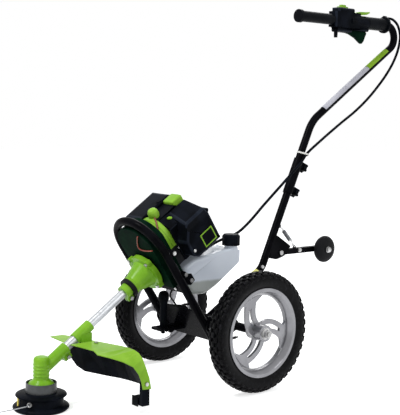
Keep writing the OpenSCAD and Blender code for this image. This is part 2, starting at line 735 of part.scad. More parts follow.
module crank_rotor() {
    color("silver") on_crank() {
        translate([0, 0, -29]) cylinder(r = 7, h = case_a1 + 41);
        difference() {
            translate([0, 0, -28]) cylinder(r = 28, h = 18);
            for (w = [0, 180]) rotate(w) translate([10, -1.5, -40]) cube([40, 3, 60]);
        }
        translate([0, 0, fan_a0 + 10]) cylinder(r = 40, h = 12);
        for (k = [0 : 11]) rotate(k * 30) translate([22, -1, fan_a0 + 21]) cube([22, 2, 16]);
    }
}

module across(a0, a1, outline) {
    engine() translate([0, a1, 0]) rotate([90, 0, 0]) linear_extrude(a1 - a0) polygon(outline);
}

module shroud(a0, a1, r, low) {
    engine() translate([0, a1, 0]) rotate([90, 0, 0]) linear_extrude(a1 - a0) intersection() {
        union() {
            translate([0, arch_p]) circle(r, $fn = 96);
            translate([-r, arch_p - r]) square([2 * r, r]);
        }
        translate([-r - 1, low]) square([2 * r + 2, 3 * r]);
    }
}

module fan_outline() {
    intersection() {
        translate([0, arch_p]) circle(hoop_half - tube_r - 2.3, $fn = 96);
        translate([-fan_half, arch_p - 1]) square([2 * fan_half, 200]);
    }
    translate([-fan_half, 368]) square([2 * fan_half, arch_p - 368]);
}

module fan_case() {
    color("darkgreen") difference() {
        union() {
            engine() translate([0, fan_a1, 0]) rotate([90, 0, 0])
                linear_extrude(fan_a1 - fan_a0) fan_outline();
            on_crank() translate([0, 0, face_a + touch]) cylinder(r = 52, h = 8);
        }
        on_crank() translate([0, 0, fan_a0 + 6]) cylinder(r = 50, h = 80);
        on_crank() translate([0, 0, -5]) cylinder(r = 8, h = 30);
    }
}

module engine_block() {
    color("silver") difference() {
        engine() union() {
            box([-48, 48], [fan_a1 + touch, case_a1], [394, 476]);
            translate([0, 104, 470]) cylinder(r = 30, h = 66);
            for (k = [0 : 5]) box([-44, 44], [70, 138], [482 + k * 9, 485 + k * 9]);
        }
        on_crank() translate([0, 0, fan_a1 - 5]) cylinder(r = 7 + run, h = 120);
    }
}

module cylinder_cowl() {
    inner_a = shroud_a1 - 4;
    color("yellowgreen") difference() {
        union() {
            difference() {
                union() {
                    shroud(fan_a1 + touch, shroud_a1, shroud_r, shroud_p);
                    for (a = [69, 79]) shroud(a, a + 3, shroud_r + rib_h, shroud_p + 2);
                }
                shroud(fan_a1 - 1, shroud_a1 + 1, shroud_r - 4, shroud_p - 5);
            }
            intersection() {
                shroud(inner_a, shroud_a1, shroud_r - 1, shroud_p);
                engine() box([-21, 26], [inner_a, shroud_a1], [deck_p - 5, top_p]);
            }
            engine() box([-21, 26], [inner_a, 172], [deck_p - 5, deck_p]);
            engine() box([-21, 26], [170, 212], [512, top_p - 1]);
        }
        engine() box([-17, 22], [174, 208], [500, top_p - 5]);
        engine() translate([boot_at[0], boot_at[1], 500]) {
            cylinder(r = 9 + touch, h = 80);
            translate([0, 0, 50]) cylinder(r = 18, h = 30);
        }
    }
}

module plug_boot() {
    color("yellowgreen") engine() translate([boot_at[0], boot_at[1], 0]) rotate_extrude() polygon([
        [0, 536 + touch], [9, 536 + touch], [9, 551], [16, 551], [17, 556], [16, 566], [12, 573],
        [6, 576], [0, 576]]);
}

module muffler() {
    color("gray") engine() difference() {
        union() {
            box([-104, -58], [97, 190], [490, deck_p]);
            translate([0, 116, 520]) rod_x(8, -60, -44 - touch);
        }
        box([-102, -60], [99, 188], [492, deck_p - 2]);
        translate([0, 116, 520]) rod_x(6, -80, -40);
        translate([-80, 180, 525]) rotate([-90, 0, 0]) cylinder(r = 8, h = 20);
    }
}

module muffler_cover() {
    low = deck_p + 2 * touch;
    outer = [[-112, 482], [-112, top_p - 8], [-104, top_p], [-26, top_p], [-22, top_p - 4], [-22, low],
        [-50 - touch, low], [-50 - touch, 482]];
    room = [[-108, 470], [-108, top_p - 9.7], [-102.3, top_p - 4], [-26, top_p - 4], [-26, 470]];
    side = [[63, 482], [63, top_p - 17], [82, top_p], [203, top_p], [209, top_p - 8], [209, 482]];
    side_room = [[67, 470], [67, top_p - 18.6], [83.6, top_p - 4], [201, top_p - 4], [205, top_p - 9.4],
        [205, 470]];
    color("black") difference() {
        union() {
            intersection() {
                across(60, 212, outer);
                engine() side_plate(-120, 0, side);
            }
            engine() box([-24, 32], [shroud_a1 + 2 * touch, 170 - touch], [low, low + 4]);
            engine() translate([-33, 165, top_p - 1]) cylinder(r = 8, h = 3);
        }
        intersection() {
            across(60, 212, room);
            engine() side_plate(-120, 0, side_room);
        }
        shroud(60, shroud_a1 + touch, shroud_r + rib_h + touch, shroud_p);
        engine() translate([boot_at[0], boot_at[1], 500]) cylinder(r = 9 + touch, h = 80);
    }
}

module carburettor() {
    color("silver") engine() {
        box([54 + touch, 66], [104, 150], [470, 512]);
        translate([60, 127, 458]) cylinder(r = 5, h = 12.5);
    }
}

module filter_base() {
    color("black") union() {
        engine() difference() {
            box([66 + touch, 74], [92, 208], [408, 518]);
            translate([0, 127, 491]) rod_x(11, 60, 80);
        }
        intersection() {
            across(96, 142, [[33, 538], [33, 542], [70, 522.5], [72.5, 519], [72.5, 510], [68, 510],
                [68, 518]]);
            engine() side_plate(30, 74, [[96, 500], [113, 500], [119.3, 510], [141.3, 546], [96, 546]]);
        }
    }
}

module filter_cover() {
    base = 74 + touch;
    outer = [[34, 533], [34, 541], [112, 520], [119, 505], [122, 499], [122, 414], [116, 408], [base, 408],
        [base, 521], [50, 531]];
    room = [[38, 500], [38, 535.8], [110.2, 516.4], [115.4, 503.6], [118, 498], [118, 415.6], [114.4, 412],
        [66, 412], [66, 500]];
    side = [[96, 424], [96, 474], [120, 510], [142, 546], [203, 546], [208, 538], [208, 416], [198, 408],
        [114, 408]];
    side_room = [[100, 426], [100, 473], [123.5, 508], [144.5, 542], [201, 542], [204, 537], [204, 418],
        [196.5, 412], [115.8, 412]];
    color("black") difference() {
        intersection() {
            across(90, 212, outer);
            engine() side_plate(20, 130, side);
        }
        intersection() {
            across(90, 212, room);
            engine() side_plate(20, 130, side_room);
        }
    }
}

module starter_case() {
    color("black") on_crank() difference() {
        translate([0, 0, case_a1 + touch]) rotate_extrude() polygon([
            [0, 0], [60, 0], [62, 4], [62, 50], [58, 62], [50, 76], [44, 88], [0, 88]]);
        translate([0, 0, case_a1 - 1]) cylinder(r = 54, h = 46);
        rotate(-90) translate([30, 0, case_a1 + 40]) cylinder(r = 4, h = 80);
    }
}

module starter_handle() {
    color("black") on_crank() rotate(-90) translate([30, 0, start_a1 + move]) {
        translate([0, 0, -12]) cylinder(r = 3, h = 14);
        cylinder(r = 8, h = 8);
        translate([0, 0, 14]) rotate([90, 0, 0]) cylinder(r = 7, h = 64, center = true);
    }
}

// Fuel tank and lines

tank_side = [[-150, 322], [-119, 282.8], [-106, 275], [-62, 274], [-50, 279], [66, 358], [74, 366], [80, 376],
    [80, 396], [74, 399.2], [10, 404], [-28, 396], [-108, 382], [-150, 362]];
tank_room = [[-147, 323], [-117, 285.2], [-105, 278], [-63, 277], [-51.5, 281.5], [64.5, 360.8], [71.5, 368],
    [77, 377], [77, 394.5], [73, 396.3], [10, 401], [-28, 393], [-108, 379], [-147, 359]];
tank_lug = [68, 350];

// Upright block over a rectangle of the plan whose corners have a radius
module pillar(half, y0, y1, r) {
    translate([0, 0, 240]) linear_extrude(200) union() {
        for (x = [r - half, half - r]) for (y = [y0 + r, y1 - r]) translate([x, y]) circle(r, $fn = 48);
        translate([r - half, y0]) square([2 * (half - r), y1 - y0]);
        translate([-half, y0 + r]) square([2 * half, y1 - y0 - 2 * r]);
    }
}

module fuel_tank() {
    color("white") difference() {
        union() {
            placed() intersection() {
                side_plate(-60, 60, tank_side);
                pillar(60, -150, 80, 14);
            }
            placed() translate([cap_at[0], cap_at[1], 390]) cylinder(r = 22, h = 15);
            placed() translate([cap_at[0], cap_at[1], 400]) cylinder(r = 20, h = 24);
            for (s = [-1, 1]) engine() translate([0, tank_lug[0], tank_lug[1]])
                box(s > 0 ? [56, 80] : [-80, -56], [-9, 9], [-9, 9]);
        }
        placed() intersection() {
            side_plate(-57, 57, tank_room);
            pillar(57, -147, 77, 11);
        }
        placed() translate([cap_at[0], cap_at[1], 380]) cylinder(r = 17, h = 60);
    }
}

module fuel_cap() {
    color("black") placed() translate([cap_at[0], cap_at[1], 0]) difference() {
        union() {
            translate([0, 0, cap_z0]) cylinder(r = 27, h = 31);
            for (k = [0 : 11]) rotate(k * 30) translate([26.2, 0, cap_z0]) cylinder(r = 2.2, h = 29);
            translate([0, 0, cap_z0 + 30.9]) cylinder(r1 = 26, r2 = 23, h = 3.6);
        }
        translate([0, 0, cap_z0 - 1]) cylinder(r = 20 + move, h = 26);
    }
}

module hex_x(x0, r, h) { translate([x0, 0, 0]) rotate([0, 90, 0]) cylinder(r = r, h = h, $fn = 6); }

module bolts() {
    cheek = hoop_half + tube_r + 2 * touch + 5;
    out = arm_t / 2 + move + 3 + touch;
    color("silver") {
        for (s = [-1, 1]) on_wheel(s) translate([0, 0, hub_half + move]) difference() {
            union() {
                cylinder(r = 15, h = 2.5);
                cylinder(r = 13, h = 13, $fn = 6);
            }
            translate([0, 0, -1]) cylinder(r = axle_d / 2 + touch, h = 20);
        }
        engine() for (s = [-1, 1]) mirror([s < 0 ? 1 : 0, 0, 0]) {
            for (p = [158, 205]) translate([0, leg_a, p]) hex_x(cheek, 7.5, 6);
            for (p = [396, 476]) translate([0, 45, p]) hex_x(hoop_half + 8 + touch, 6.5, 5);
            translate([0, tank_lug[0], tank_lug[1]]) hex_x(fan_half + 4 + 2 * touch, 6.5, 5);
            translate([62, 19, 353]) rotate([-90, 0, 0]) cylinder(r = 6, h = 4 - touch, $fn = 6);
        }
        in_plane(pivot[0], pivot[1]) {
            rod_x(5, -out - 8, out + 1);
            hex_x(out, 8.5, 6);
            hex_x(-out - 7, 8.5, 7);
        }
        in_plane(216, 327) hex_x(tube_r + touch, 6, 5);
        engine() translate([0, neck_end - 14, crank_p - neck_r - 4]) {
            rod_x(3, -15, 13);
            rod_x(5.5, 12 + touch, 18);
            rod_x(5.5, -17, -12 - touch);
        }
        at_guard() {
            for (x = [-40, 46]) translate([x, -452, guard_z + touch]) cylinder(r = 6, h = 4, $fn = 6);
            translate([0, -408, 88]) hex_x(224 + touch, 6, 4);
        }
        on_crank() for (k = [0 : 3]) rotate(45 + k * 90) translate([57, 0, 0]) {
            translate([0, 0, flange_a0 - 6]) cylinder(r = 5.5, h = 6 - touch);
            translate([0, 0, flange_a0 - 1]) cylinder(r = 3, h = face_a - flange_a0 + 1 - touch);
        }
        engine() translate([0, bell_a0 - 22, crank_p - 25]) {
            rod_x(3, -12, 12);
            rod_x(5.5, 9 + touch, 15);
            rod_x(5.5, -14, -9 - touch);
        }
        engine() translate([0, 104, 440]) rod_x(4.5, 122 + touch, 126);
    }
}

cable_path = [[0, 799.8, bar_z + 24], [4, 832, bar_z + 22], [8, 858, bar_z + 2], [9, cable_back, bar_z - 34],
    [8, 866, 1062], [6, 844, 1014], [4, 808, 966], [3, 760, 918], [2, 711, 876], [4, 648, 834],
    [7, 579, 796], [12, 520, 764], [17, 466, 734], [20, 402, 694], [24, 366, 660], [20, 334, 630],
    [13, 282, 582], [6, 220, 526], [0, 172, 480], [-4, 128, 447], [-7, 92, 433], [-6, 56, 425], [4, 16, 417],
    [26, -28, 411], [50, -66, 406], [60, -98, 410], [60, -124, 418], [60, -144.5, 434.5],
    [60, -154.65, 449.2]];

module throttle_cable() {
    color("black") placed() sweep(smooth(cable_path, 3), cable_r, 10);
}

module cable_tie() {
    spot = [20.3, 6.3];
    color("white") on_post(381) translate([0, 0, -3]) linear_extrude(6) difference() {
        hull() {
            circle(tube_r + 1.6, $fn = 32);
            translate(spot) circle(cable_r + 3.4, $fn = 32);
        }
        hull() {
            circle(tube_r + touch, $fn = 32);
            translate(spot) circle(cable_r + 2.1, $fn = 32);
        }
    }
}

hose_path = [[22, -140.6, 310.1], [22, -155, 298.8], [20, -166, 284], [16, -165, 270], [10, -155, 261],
    [6, -143.4, 250.9], [6, -132.1, 234.65]];

wire_path = [[42, 5.95, 558], [31, 5.95, 544], [20, 5.95, 528], [14, 5.95, 516], [17, 5.95, 508],
    [30, 5.95, 505], [50, 5.95, 506], [66, 5.95, 508.5], [78, 5.95, 511]];

module small_lines() {
    color("black") placed() sweep(smooth(hose_path, 3), 3, 8);
    color("brown") engine() sweep(smooth(wire_path, 3), 2, 8);
}

// Handle controls

module grips() {
    r = grip_d / 2;
    color("black") {
        in_plane(bar_front - 8, bar_z) rotate([-90, 0, 0]) difference() {
            union() {
                cylinder(r = r, h = 162);
                cylinder(r = r + 3.5, h = 12);
            }
            translate([0, 0, 8 - touch]) cylinder(r = tube_r + touch, h = 300);
        }
        in_plane(694, bar_z) rotate([-90, 0, 0]) difference() {
            union() {
                cylinder(r = rear_grip_d / 2, h = 98);
                translate([0, 0, 94]) cylinder(r = 29, h = 7);
                translate([0, 0, 100]) cylinder(r = 22, h = 6);
                translate([0, -24, 94]) cylinder(r = 8, h = 11);
            }
            translate([0, 0, -1]) cylinder(r = tube_r + touch, h = 300);
        }
    }
}

module throttle_body() {
    z = bar_z;
    color("black") {
        difference() {
            placed() {
                box([-19, 19], [521, 645], [z - 24, z + 28]);
                translate([0, 600, z]) rotate([-90, 0, 0]) cylinder(r = rear_grip_d / 2 + 0.5, h = 93);
                box([-18, 18], [536, 618], [z - 26, z + 42]);
                box([-15, 15], [536, 606], [z - 40, z - 20]);
                box([-15, 15], [600, 693], [z - 31, z - 20]);
            }
            in_plane(500, z) rotate([-90, 0, 0]) cylinder(r = tube_r + touch, h = 220);
            placed() box([-6, 6], [562, 694], [z - 60, z - tube_r - 1]);
            placed() box([-8 - move, 8 + move], [548, 604], [z + 36, z + 50]);
            placed() box([-7 - move, 7 + move], [622, 694], [z + 21, z + 50]);
            placed() box([-5 - move, 5 + move], [530, 551], [z - 60, z - 29]);
        }
        in_plane(572, z - 33) rod_x(2.5, -14, 14);
        in_plane(541, z - 33) rod_x(2, -14, 14);
        in_plane(632, z + 24.5) rod_x(2, -18, 18);
    }
}

module trigger() {
    color("darkgreen") in_plane(572, bar_z - 33) difference() {
        side_plate(-5, 5, [[-6, -5], [-6, 4], [2, 6], [40, 4], [119, 1], [121, -4], [114, -18],
            [107, -32], [98, -40], [90, -37], [66, -22], [36, -11], [8, -6]]);
        rod_x(2.5 + run, -20, 20);
    }
}

module lock_lever() {
    color("yellowgreen") in_plane(632, bar_z + 24.5) difference() {
        side_plate(-7, 7,
            [[-6, -3], [4, -3], [58, 3], [74, 10], [72, 14], [56, 12], [20, 10], [0, 6], [-6, 4]]);
        rod_x(2 + run, -20, 20);
    }
}

module stop_switch() {
    color("yellowgreen") placed() {
        box([-8, 8], [551, 591], [bar_z + 36 + move, bar_z + 46]);
        box([-6, 6], [560, 582], [bar_z + 45, bar_z + 52]);
    }
}

module speed_lever() {
    color("black") in_plane(541, bar_z - 33) difference() {
        side_plate(-5, 5, [[-4, 2], [4, 2], [5, -6], [4, -26], [-3, -26], [-4, -6]]);
        rod_x(2 + run, -20, 20);
    }
}

tyre(1);  // tyre_left
tyre(-1);  // tyre_right
rim(1);  // rim_left
rim(-1);  // rim_right
hub_bearings();
axle_shaft();
axle_tube();
frame_hoop();
clamp_knob();
lower_post();
post_sleeve();
star_knob(knob_low_s);  // knob_low
star_knob(knob_high_s);  // knob_high
handle_tube();
support_arm();
prop_wheel();
arm_spring();
drive_tube();
drive_shaft();
shaft_bearings();
gear_case();
spindle();
drive_cup();
spool_body();
spool_cover();
bump_knob();
eyelets();
cutting_line();
guard_shell();
guard_skirt();
guard_clamp();
cutter();
tube_collar();
bell_ring();
bell_housing();
bolts();
clutch_drum();
crank_rotor();
fan_case();
engine_block();
cylinder_cowl();
plug_boot();
muffler();
muffler_cover();
carburettor();
filter_base();
filter_cover();
starter_case();
starter_handle();
fuel_tank();
fuel_cap();
throttle_cable();
cable_tie();
small_lines();
grips();
throttle_body();
trigger();
lock_lever();
stop_switch();
speed_lever();
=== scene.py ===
# %% [markdown]
# # A wheeled string trimmer for the studio
# The solids of this machine come from a CAD model that is already the right size. Blender's work is the
# looks: paint, rubber, moulded plastic, and the things that CAD leaves plain, such as tread and cable.
# Everything is in metres, and the first step only loads the solids.

# %% Load the machine
import json
import math

import bmesh
import bpy
from mathutils import Matrix, Vector

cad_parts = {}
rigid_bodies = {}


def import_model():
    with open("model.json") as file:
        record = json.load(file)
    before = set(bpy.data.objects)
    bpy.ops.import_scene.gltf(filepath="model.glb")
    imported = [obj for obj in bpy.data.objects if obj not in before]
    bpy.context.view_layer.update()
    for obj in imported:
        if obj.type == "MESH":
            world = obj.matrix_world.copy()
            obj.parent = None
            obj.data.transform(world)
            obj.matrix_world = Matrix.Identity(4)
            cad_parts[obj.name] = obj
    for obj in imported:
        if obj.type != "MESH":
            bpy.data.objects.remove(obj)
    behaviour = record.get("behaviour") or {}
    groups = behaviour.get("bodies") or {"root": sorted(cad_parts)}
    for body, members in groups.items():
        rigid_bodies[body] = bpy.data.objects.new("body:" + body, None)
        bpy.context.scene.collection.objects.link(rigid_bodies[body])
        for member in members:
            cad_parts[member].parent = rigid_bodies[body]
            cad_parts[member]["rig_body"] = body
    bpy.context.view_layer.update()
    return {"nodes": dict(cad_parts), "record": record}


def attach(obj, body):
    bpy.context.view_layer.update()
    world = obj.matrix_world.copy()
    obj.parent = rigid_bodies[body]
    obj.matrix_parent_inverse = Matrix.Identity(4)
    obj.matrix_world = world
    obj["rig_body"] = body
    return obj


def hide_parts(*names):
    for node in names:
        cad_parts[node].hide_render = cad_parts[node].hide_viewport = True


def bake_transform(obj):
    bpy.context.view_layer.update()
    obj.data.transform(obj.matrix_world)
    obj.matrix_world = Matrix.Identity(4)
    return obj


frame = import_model()
solids = frame["nodes"]

# %% [markdown]
# The drawings of the machine measure in millimetres from the ground under the axle, with the engine
# leaning back by 34.5 degrees. Two small functions turn such a measure into a point of the scene, so that
# each route below can be read straight off the drawings.

# %% From drawing to scene
ROW_SHIFT = -98.75
LEAN = math.radians(34.5)
CRANK_HEIGHT = 428
AXLE_HEIGHT = 181
WHEEL_OUT = 230
HEAD_REACH = 601
ACROSS = Vector((1, 0, 0))


def at(x, y, z):
    return Vector((x, y + ROW_SHIFT, z)) / 1000


def on_engine(x, along, square):
    return at(x, along * math.cos(LEAN) - square * math.sin(LEAN),
              along * math.sin(LEAN) + square * math.cos(LEAN))


def body_of(solid):
    return solids[solid]["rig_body"]


print("crank line passes", tuple(round(v, 3) for v in on_engine(0, 0, CRANK_HEIGHT)))

# %% [markdown]
# The picture is taken from the machine's front left, a little above the engine. A long lens keeps the
# wheels round. The camera is set by its three axes rather than by aiming at a target, because the real
# picture is also turned by a degree or so about the line of sight.

# %% Camera
STAND = (2.32699, -2.11445, 0.834)
azimuth, elevation, roll = (math.radians(v) for v in (49.71, 5.67, 1.33))
back = Vector((math.sin(azimuth) * math.cos(elevation), -math.cos(azimuth) * math.cos(elevation),
               math.sin(elevation)))
level = Vector((math.cos(azimuth), math.sin(azimuth), 0))
rise = back.cross(level)
right = level * math.cos(roll) + rise * math.sin(roll)
up = rise * math.cos(roll) - level * math.sin(roll)
camera = bpy.data.objects.new("studio_camera", bpy.data.cameras.new("studio_camera"))
camera.data.sensor_fit = "HORIZONTAL"
camera.data.sensor_width = 36
camera.data.lens = 90
camera.matrix_world = Matrix.Translation(STAND) @ Matrix((right, up, back)).transposed().to_4x4()
bpy.context.scene.collection.objects.link(camera)
bpy.context.scene.camera = camera
print("camera", tuple(round(v, 2) for v in camera.location))

# %% [markdown]
# Cords come next, because they decide how much room the machine takes. Each one is a curve through a few
# points, and the curve's own bevel gives it a round section. The handles are a sixth of the way between a
# point's neighbours, which makes the same smooth line as the drawings use.

# %% A round cord through points
def round_cord(name, points, thick):
    line = bpy.data.curves.new(name, "CURVE")
    line.dimensions = "3D"
    line.bevel_depth = 1
    line.bevel_resolution = 5
    line.use_fill_caps = True
    line.resolution_u = 8
    spline = line.splines.new("BEZIER")
    spline.bezier_points.add(len(points) - 1)
    for i, knot in enumerate(spline.bezier_points):
        lean = (points[min(i + 1, len(points) - 1)] - points[max(i - 1, 0)]) / 6
        knot.co = points[i]
        knot.handle_left = points[i] - lean
        knot.handle_right = points[i] + lean
        knot.radius = thick / 2
    cord = bpy.data.objects.new(name, line)
    bpy.context.scene.collection.objects.link(cord)
    return cord, spline.calc_length()


# %% [markdown]
# The throttle cable runs from the rear grip in a wide bow to the post, is tied there, and goes on past the
# fuel cap to the carburettor. It is stiff, so it keeps this bow, and its points are read off the drawings.

# %% Throttle cable
CABLE_THICK = 0.009
cable_route = [
    (0, 799.8, 1166), (4, 832, 1164), (8, 858, 1144), (9, 872, 1108), (8, 866, 1062), (6, 844, 1014),
    (4, 808, 966), (3, 760, 918), (2, 711, 876), (4, 648, 834), (7, 579, 796), (12, 520, 764),
    (17, 466, 734), (20, 402, 694), (24, 366, 660), (20, 334, 630), (13, 282, 582), (6, 220, 526),
    (0, 172, 480), (-4, 128, 447), (-7, 92, 433), (-6, 56, 425), (4, 16, 417), (26, -28, 411),
    (50, -66, 406), (60, -98, 410), (60, -124, 418), (60, -144.5, 434.5), (60, -154.65, 449.2)]
throttle_cord, long = round_cord("throttle_cord", [at(*p) for p in cable_route], CABLE_THICK)
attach(throttle_cord, "chassis")
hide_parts("throttle_cable")
at(*cable_route[0])
print("throttle cable", round(long, 3), "m")

# %% [markdown]
# Three thinner cords stay close to the engine: a hose below the tank, a wire on the fan case and the lead of
# the spark plug. They are made in the same way and only differ in thickness.

# %% Hose, wire and plug lead
HOSE_THICK, WIRE_THICK, LEAD_THICK = 0.006, 0.004, 0.005
FAN_FACE = 5.95
hose_route = [(22, -140.6, 310.1), (22, -155, 298.8), (20, -166, 284), (16, -165, 270), (10, -155, 261),
              (6, -143.4, 250.9), (6, -132.1, 234.65)]
vent_hose, long = round_cord("vent_hose", [at(*p) for p in hose_route], HOSE_THICK)
at(*hose_route[0])
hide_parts("small_lines")
print("vent hose", round(long, 3), "m")

wire_route = [(x, FAN_FACE, square) for x, square in (
    (42, 558), (31, 544), (20, 528), (14, 516), (17, 508), (30, 505), (50, 506), (66, 508.5), (78, 511))]
stop_wire, long = round_cord("stop_wire", [on_engine(*p) for p in wire_route], WIRE_THICK)
on_engine(*wire_route[0])
print("stop wire", round(long, 3), "m")
lead_route = [(14, 100, 552.5), (20, 97, 553.2), (27.5, 92, 551.8), (34.5, 87, 548.4), (42.5, 80, 545),
              (47.5, 75, 540.5), (52, 70, 536), (55, 65, 532), (56.5, 61.5, 529)]
plug_lead, long = round_cord("plug_lead", [on_engine(*p) for p in lead_route], LEAD_THICK)
on_engine(*lead_route[0])
print("plug lead", round(long, 3), "m")
for line in (vent_hose, stop_wire, plug_lead):
    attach(line, "chassis")

# %% [markdown]
# The cutting line leaves the head through an eyelet and sags a little. It is stiff nylon, so a few points are
# enough, and they are counted from the eyelet because the line turns with the head.

# %% Cutting line
LINE_THICK = 0.003
EYE_RADIUS, EYE_HEIGHT, EYE_TURN = 60, 26, math.radians(-61)


def on_head(radius, turn, height):
    return Vector((radius * math.cos(turn), radius * math.sin(turn) - HEAD_REACH, height))


eye = on_head(EYE_RADIUS, EYE_TURN, EYE_HEIGHT)
line_steps = [(0, 0, 0), (4, -7, 0), (7, -16, -0.5), (7, -30, -1), (5, -46, -2), (2, -62, -3), (-1, -78, -4),
              (-4, -94, -5), (-6, -108, -6)]
free_line, long = round_cord("free_line", [at(*(eye + Vector(p))) for p in line_steps], LINE_THICK)
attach(free_line, "head")
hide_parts("cutting_line")
at(*eye)
print("cutting line", round(long, 3), "m")

# %% [markdown]
# Finishes are node materials. A small class lets sums of sockets be written as plain sums, and each sum
# adds its Math node. A second class holds one material: its `node` method makes any node, sets it up, and
# fills or links its sockets. All patterns are read from Object coordinates, so that they stay on a piece.

# %% Sums of sockets
class Wire:
    def __init__(self, finish, socket):
        self.finish, self.socket = finish, socket

    def sums(self, operation, *values):
        return self.finish.node("ShaderNodeMath", {"operation": operation}, *values)

    def __add__(self, other):
        return self.sums("ADD", self, other)

    def __rsub__(self, other):
        return self.sums("SUBTRACT", other, self)

    def __mul__(self, other):
        return self.sums("MULTIPLY", self, other)

    def sine(self):
        return self.sums("SINE", self)

    def spread(self, low, high):
        return self.finish.node("ShaderNodeMapRange", {"interpolation_type": "SMOOTHSTEP"},
                                self, low, high, 0, 1)


# %% One finish
class Finish:
    def __init__(self, name, **steady):
        self.material = bpy.data.materials.new(name)
        self.material.use_nodes = True
        self.tree = self.material.node_tree
        self.shader = self.tree.nodes["Principled BSDF"]
        for socket, value in steady.items():
            self.shader.inputs[socket.replace("_", " ")].default_value = value
        self.place = self.node("ShaderNodeTexCoord", out="Object")

    def node(self, kind, settings=(), *values, out=0, **named):
        made = self.tree.nodes.new(kind)
        for key, value in dict(settings).items():
            setattr(made, key, value)
        for key, value in [*enumerate(values), *named.items()]:
            if isinstance(value, Wire):
                self.tree.links.new(value.socket, made.inputs[key])
            elif value is not None:
                made.inputs[key].default_value = value
        return Wire(self, made.outputs[out])

    def feed(self, socket, wire):
        self.tree.links.new(wire.socket, self.shader.inputs[socket])

    def cloud(self, scale, detail=2.0, place=None):
        return self.node("ShaderNodeTexNoise", (), Vector=place or self.place, Scale=scale, Detail=detail)

    def mixed(self, share, first, second):
        return self.node("ShaderNodeMix", {"data_type": "RGBA"}, share, *[None] * 5, first, second, out=2)

    def stretched(self, turn, scale):
        return self.node("ShaderNodeMapping", (), Vector=self.place, Rotation=turn, Scale=scale)

    def raised(self, height, strength, depth):
        self.feed("Normal", self.node("ShaderNodeBump", (), Strength=strength, Distance=depth, Height=height))


def shade(red, green, blue):
    """A colour from 0 to 255, as a picture gives it, made linear for the shader."""
    parts = (v / 255 for v in (red, green, blue))
    return (*(v / 12.92 if v < 11 / 255 else ((v + 0.055) / 1.055) ** 2.4 for v in parts), 1.0)


print("finish tools ready")

# %% [markdown]
# Paint, plastic and rubber on a machine like this differ in three small ways: how far the colour drifts,
# how rough the skin is, and the grain of the mould or the orange peel of the paint. One recipe takes these
# three and is used for most pieces. The colour drifts over centimetres, the grain over half a millimetre.

# %% Moulded and painted finishes
def skin(name, dark, light, rough, drift, grain, depth, patch=22.0, **steady):
    finish = Finish(name, **steady)
    cloud = finish.cloud(patch, 4.0)
    finish.feed("Base Color", finish.mixed(cloud.spread(0.35, 0.65), dark, light))
    finish.feed("Roughness", cloud * drift + finish.cloud(grain * 0.12) * drift + (rough - drift))
    finish.raised(finish.cloud(grain, 3.0), 0.25, depth)
    return finish.material


frame_paint = skin("frame_paint", shade(8, 8, 11), shade(15, 15, 19), 0.26, 0.12, 420, 0.0002,
                   Specular_IOR_Level=0.016)
cover_plastic = skin("cover_plastic", shade(10, 12, 16), shade(19, 22, 29), 0.34, 0.14, 900, 0.0003,
                     Specular_IOR_Level=0.016)
# A painted highlight: a lighter blue-grey for the rounded edges of the covers, where they would catch the
# light.
edge_highlight = skin("edge_highlight", shade(25, 29, 38), shade(35, 40, 50), 0.3, 0.1, 900, 0.0002,
                  Specular_IOR_Level=0.03)
# Dark green is painted shade: the fan case's lime plastic as it looks in deep shade. The trigger shares it.
shaded_lime = skin("shaded_lime", shade(4, 22, 15), shade(9, 34, 22), 0.46, 0.14, 900, 0.0003,
                   Specular_IOR_Level=0.006)
lime_plastic = skin("lime_plastic", shade(130, 180, 48), shade(144, 192, 62), 0.34, 0.12, 800, 0.0002,
                    Specular_IOR_Level=0.12)
lime_paint = skin("lime_paint", shade(116, 172, 36), shade(130, 184, 46), 0.28, 0.12, 260, 0.0004,
                  Specular_IOR_Level=0.16)
grip_rubber = skin("grip_rubber", shade(8, 10, 14), shade(15, 18, 23), 0.4, 0.14, 700, 0.0004,
                   Specular_IOR_Level=0.04)
soft_rubber = skin("soft_rubber", shade(9, 9, 11), shade(18, 18, 21), 0.55, 0.16, 600, 0.0004,
                   Specular_IOR_Level=0.1)
zinc_plate = skin("zinc_plate", shade(150, 150, 150), shade(200, 200, 200), 0.32, 0.16, 500, 0.0002,
                  Metallic=1.0)
cast_metal = skin("cast_metal", shade(128, 129, 131), shade(166, 167, 168), 0.46, 0.16, 350, 0.0006,
                  Metallic=0.9)
cup_metal = skin("cup_metal", shade(56, 58, 59), shade(78, 80, 81), 0.4, 0.14, 500, 0.0003,
                 Metallic=0.5)
rim_cast = skin("rim_cast", shade(132, 132, 136), shade(144, 144, 148), 0.24, 0.06, 420, 0.0003,
                Metallic=0.6)
tie_nylon = skin("tie_nylon", shade(206, 206, 200), shade(226, 226, 220), 0.4, 0.12, 700, 0.0002)
line_nylon = skin("line_nylon", shade(140, 142, 146), shade(180, 182, 186), 0.32, 0.12, 900, 0.0002)
wire_red = skin("wire_red", shade(122, 44, 34), shade(152, 62, 48), 0.42, 0.12, 700, 0.0002)
lead_brown = skin("lead_brown", shade(96, 46, 34), shade(124, 62, 46), 0.46, 0.12, 700, 0.0002)
block_paint = skin("block_paint", shade(20, 21, 23), shade(34, 35, 38), 0.5, 0.14, 350, 0.0006,
                   Specular_IOR_Level=0.12)
brass = skin("brass", shade(176, 156, 66), shade(206, 188, 92), 0.34, 0.12, 500, 0.0002, Metallic=0.7)
spring_steel = skin("spring_steel", shade(72, 74, 78), shade(120, 122, 126), 0.32, 0.14, 500, 0.0002,
                    Metallic=1.0)
print("plain finishes made")
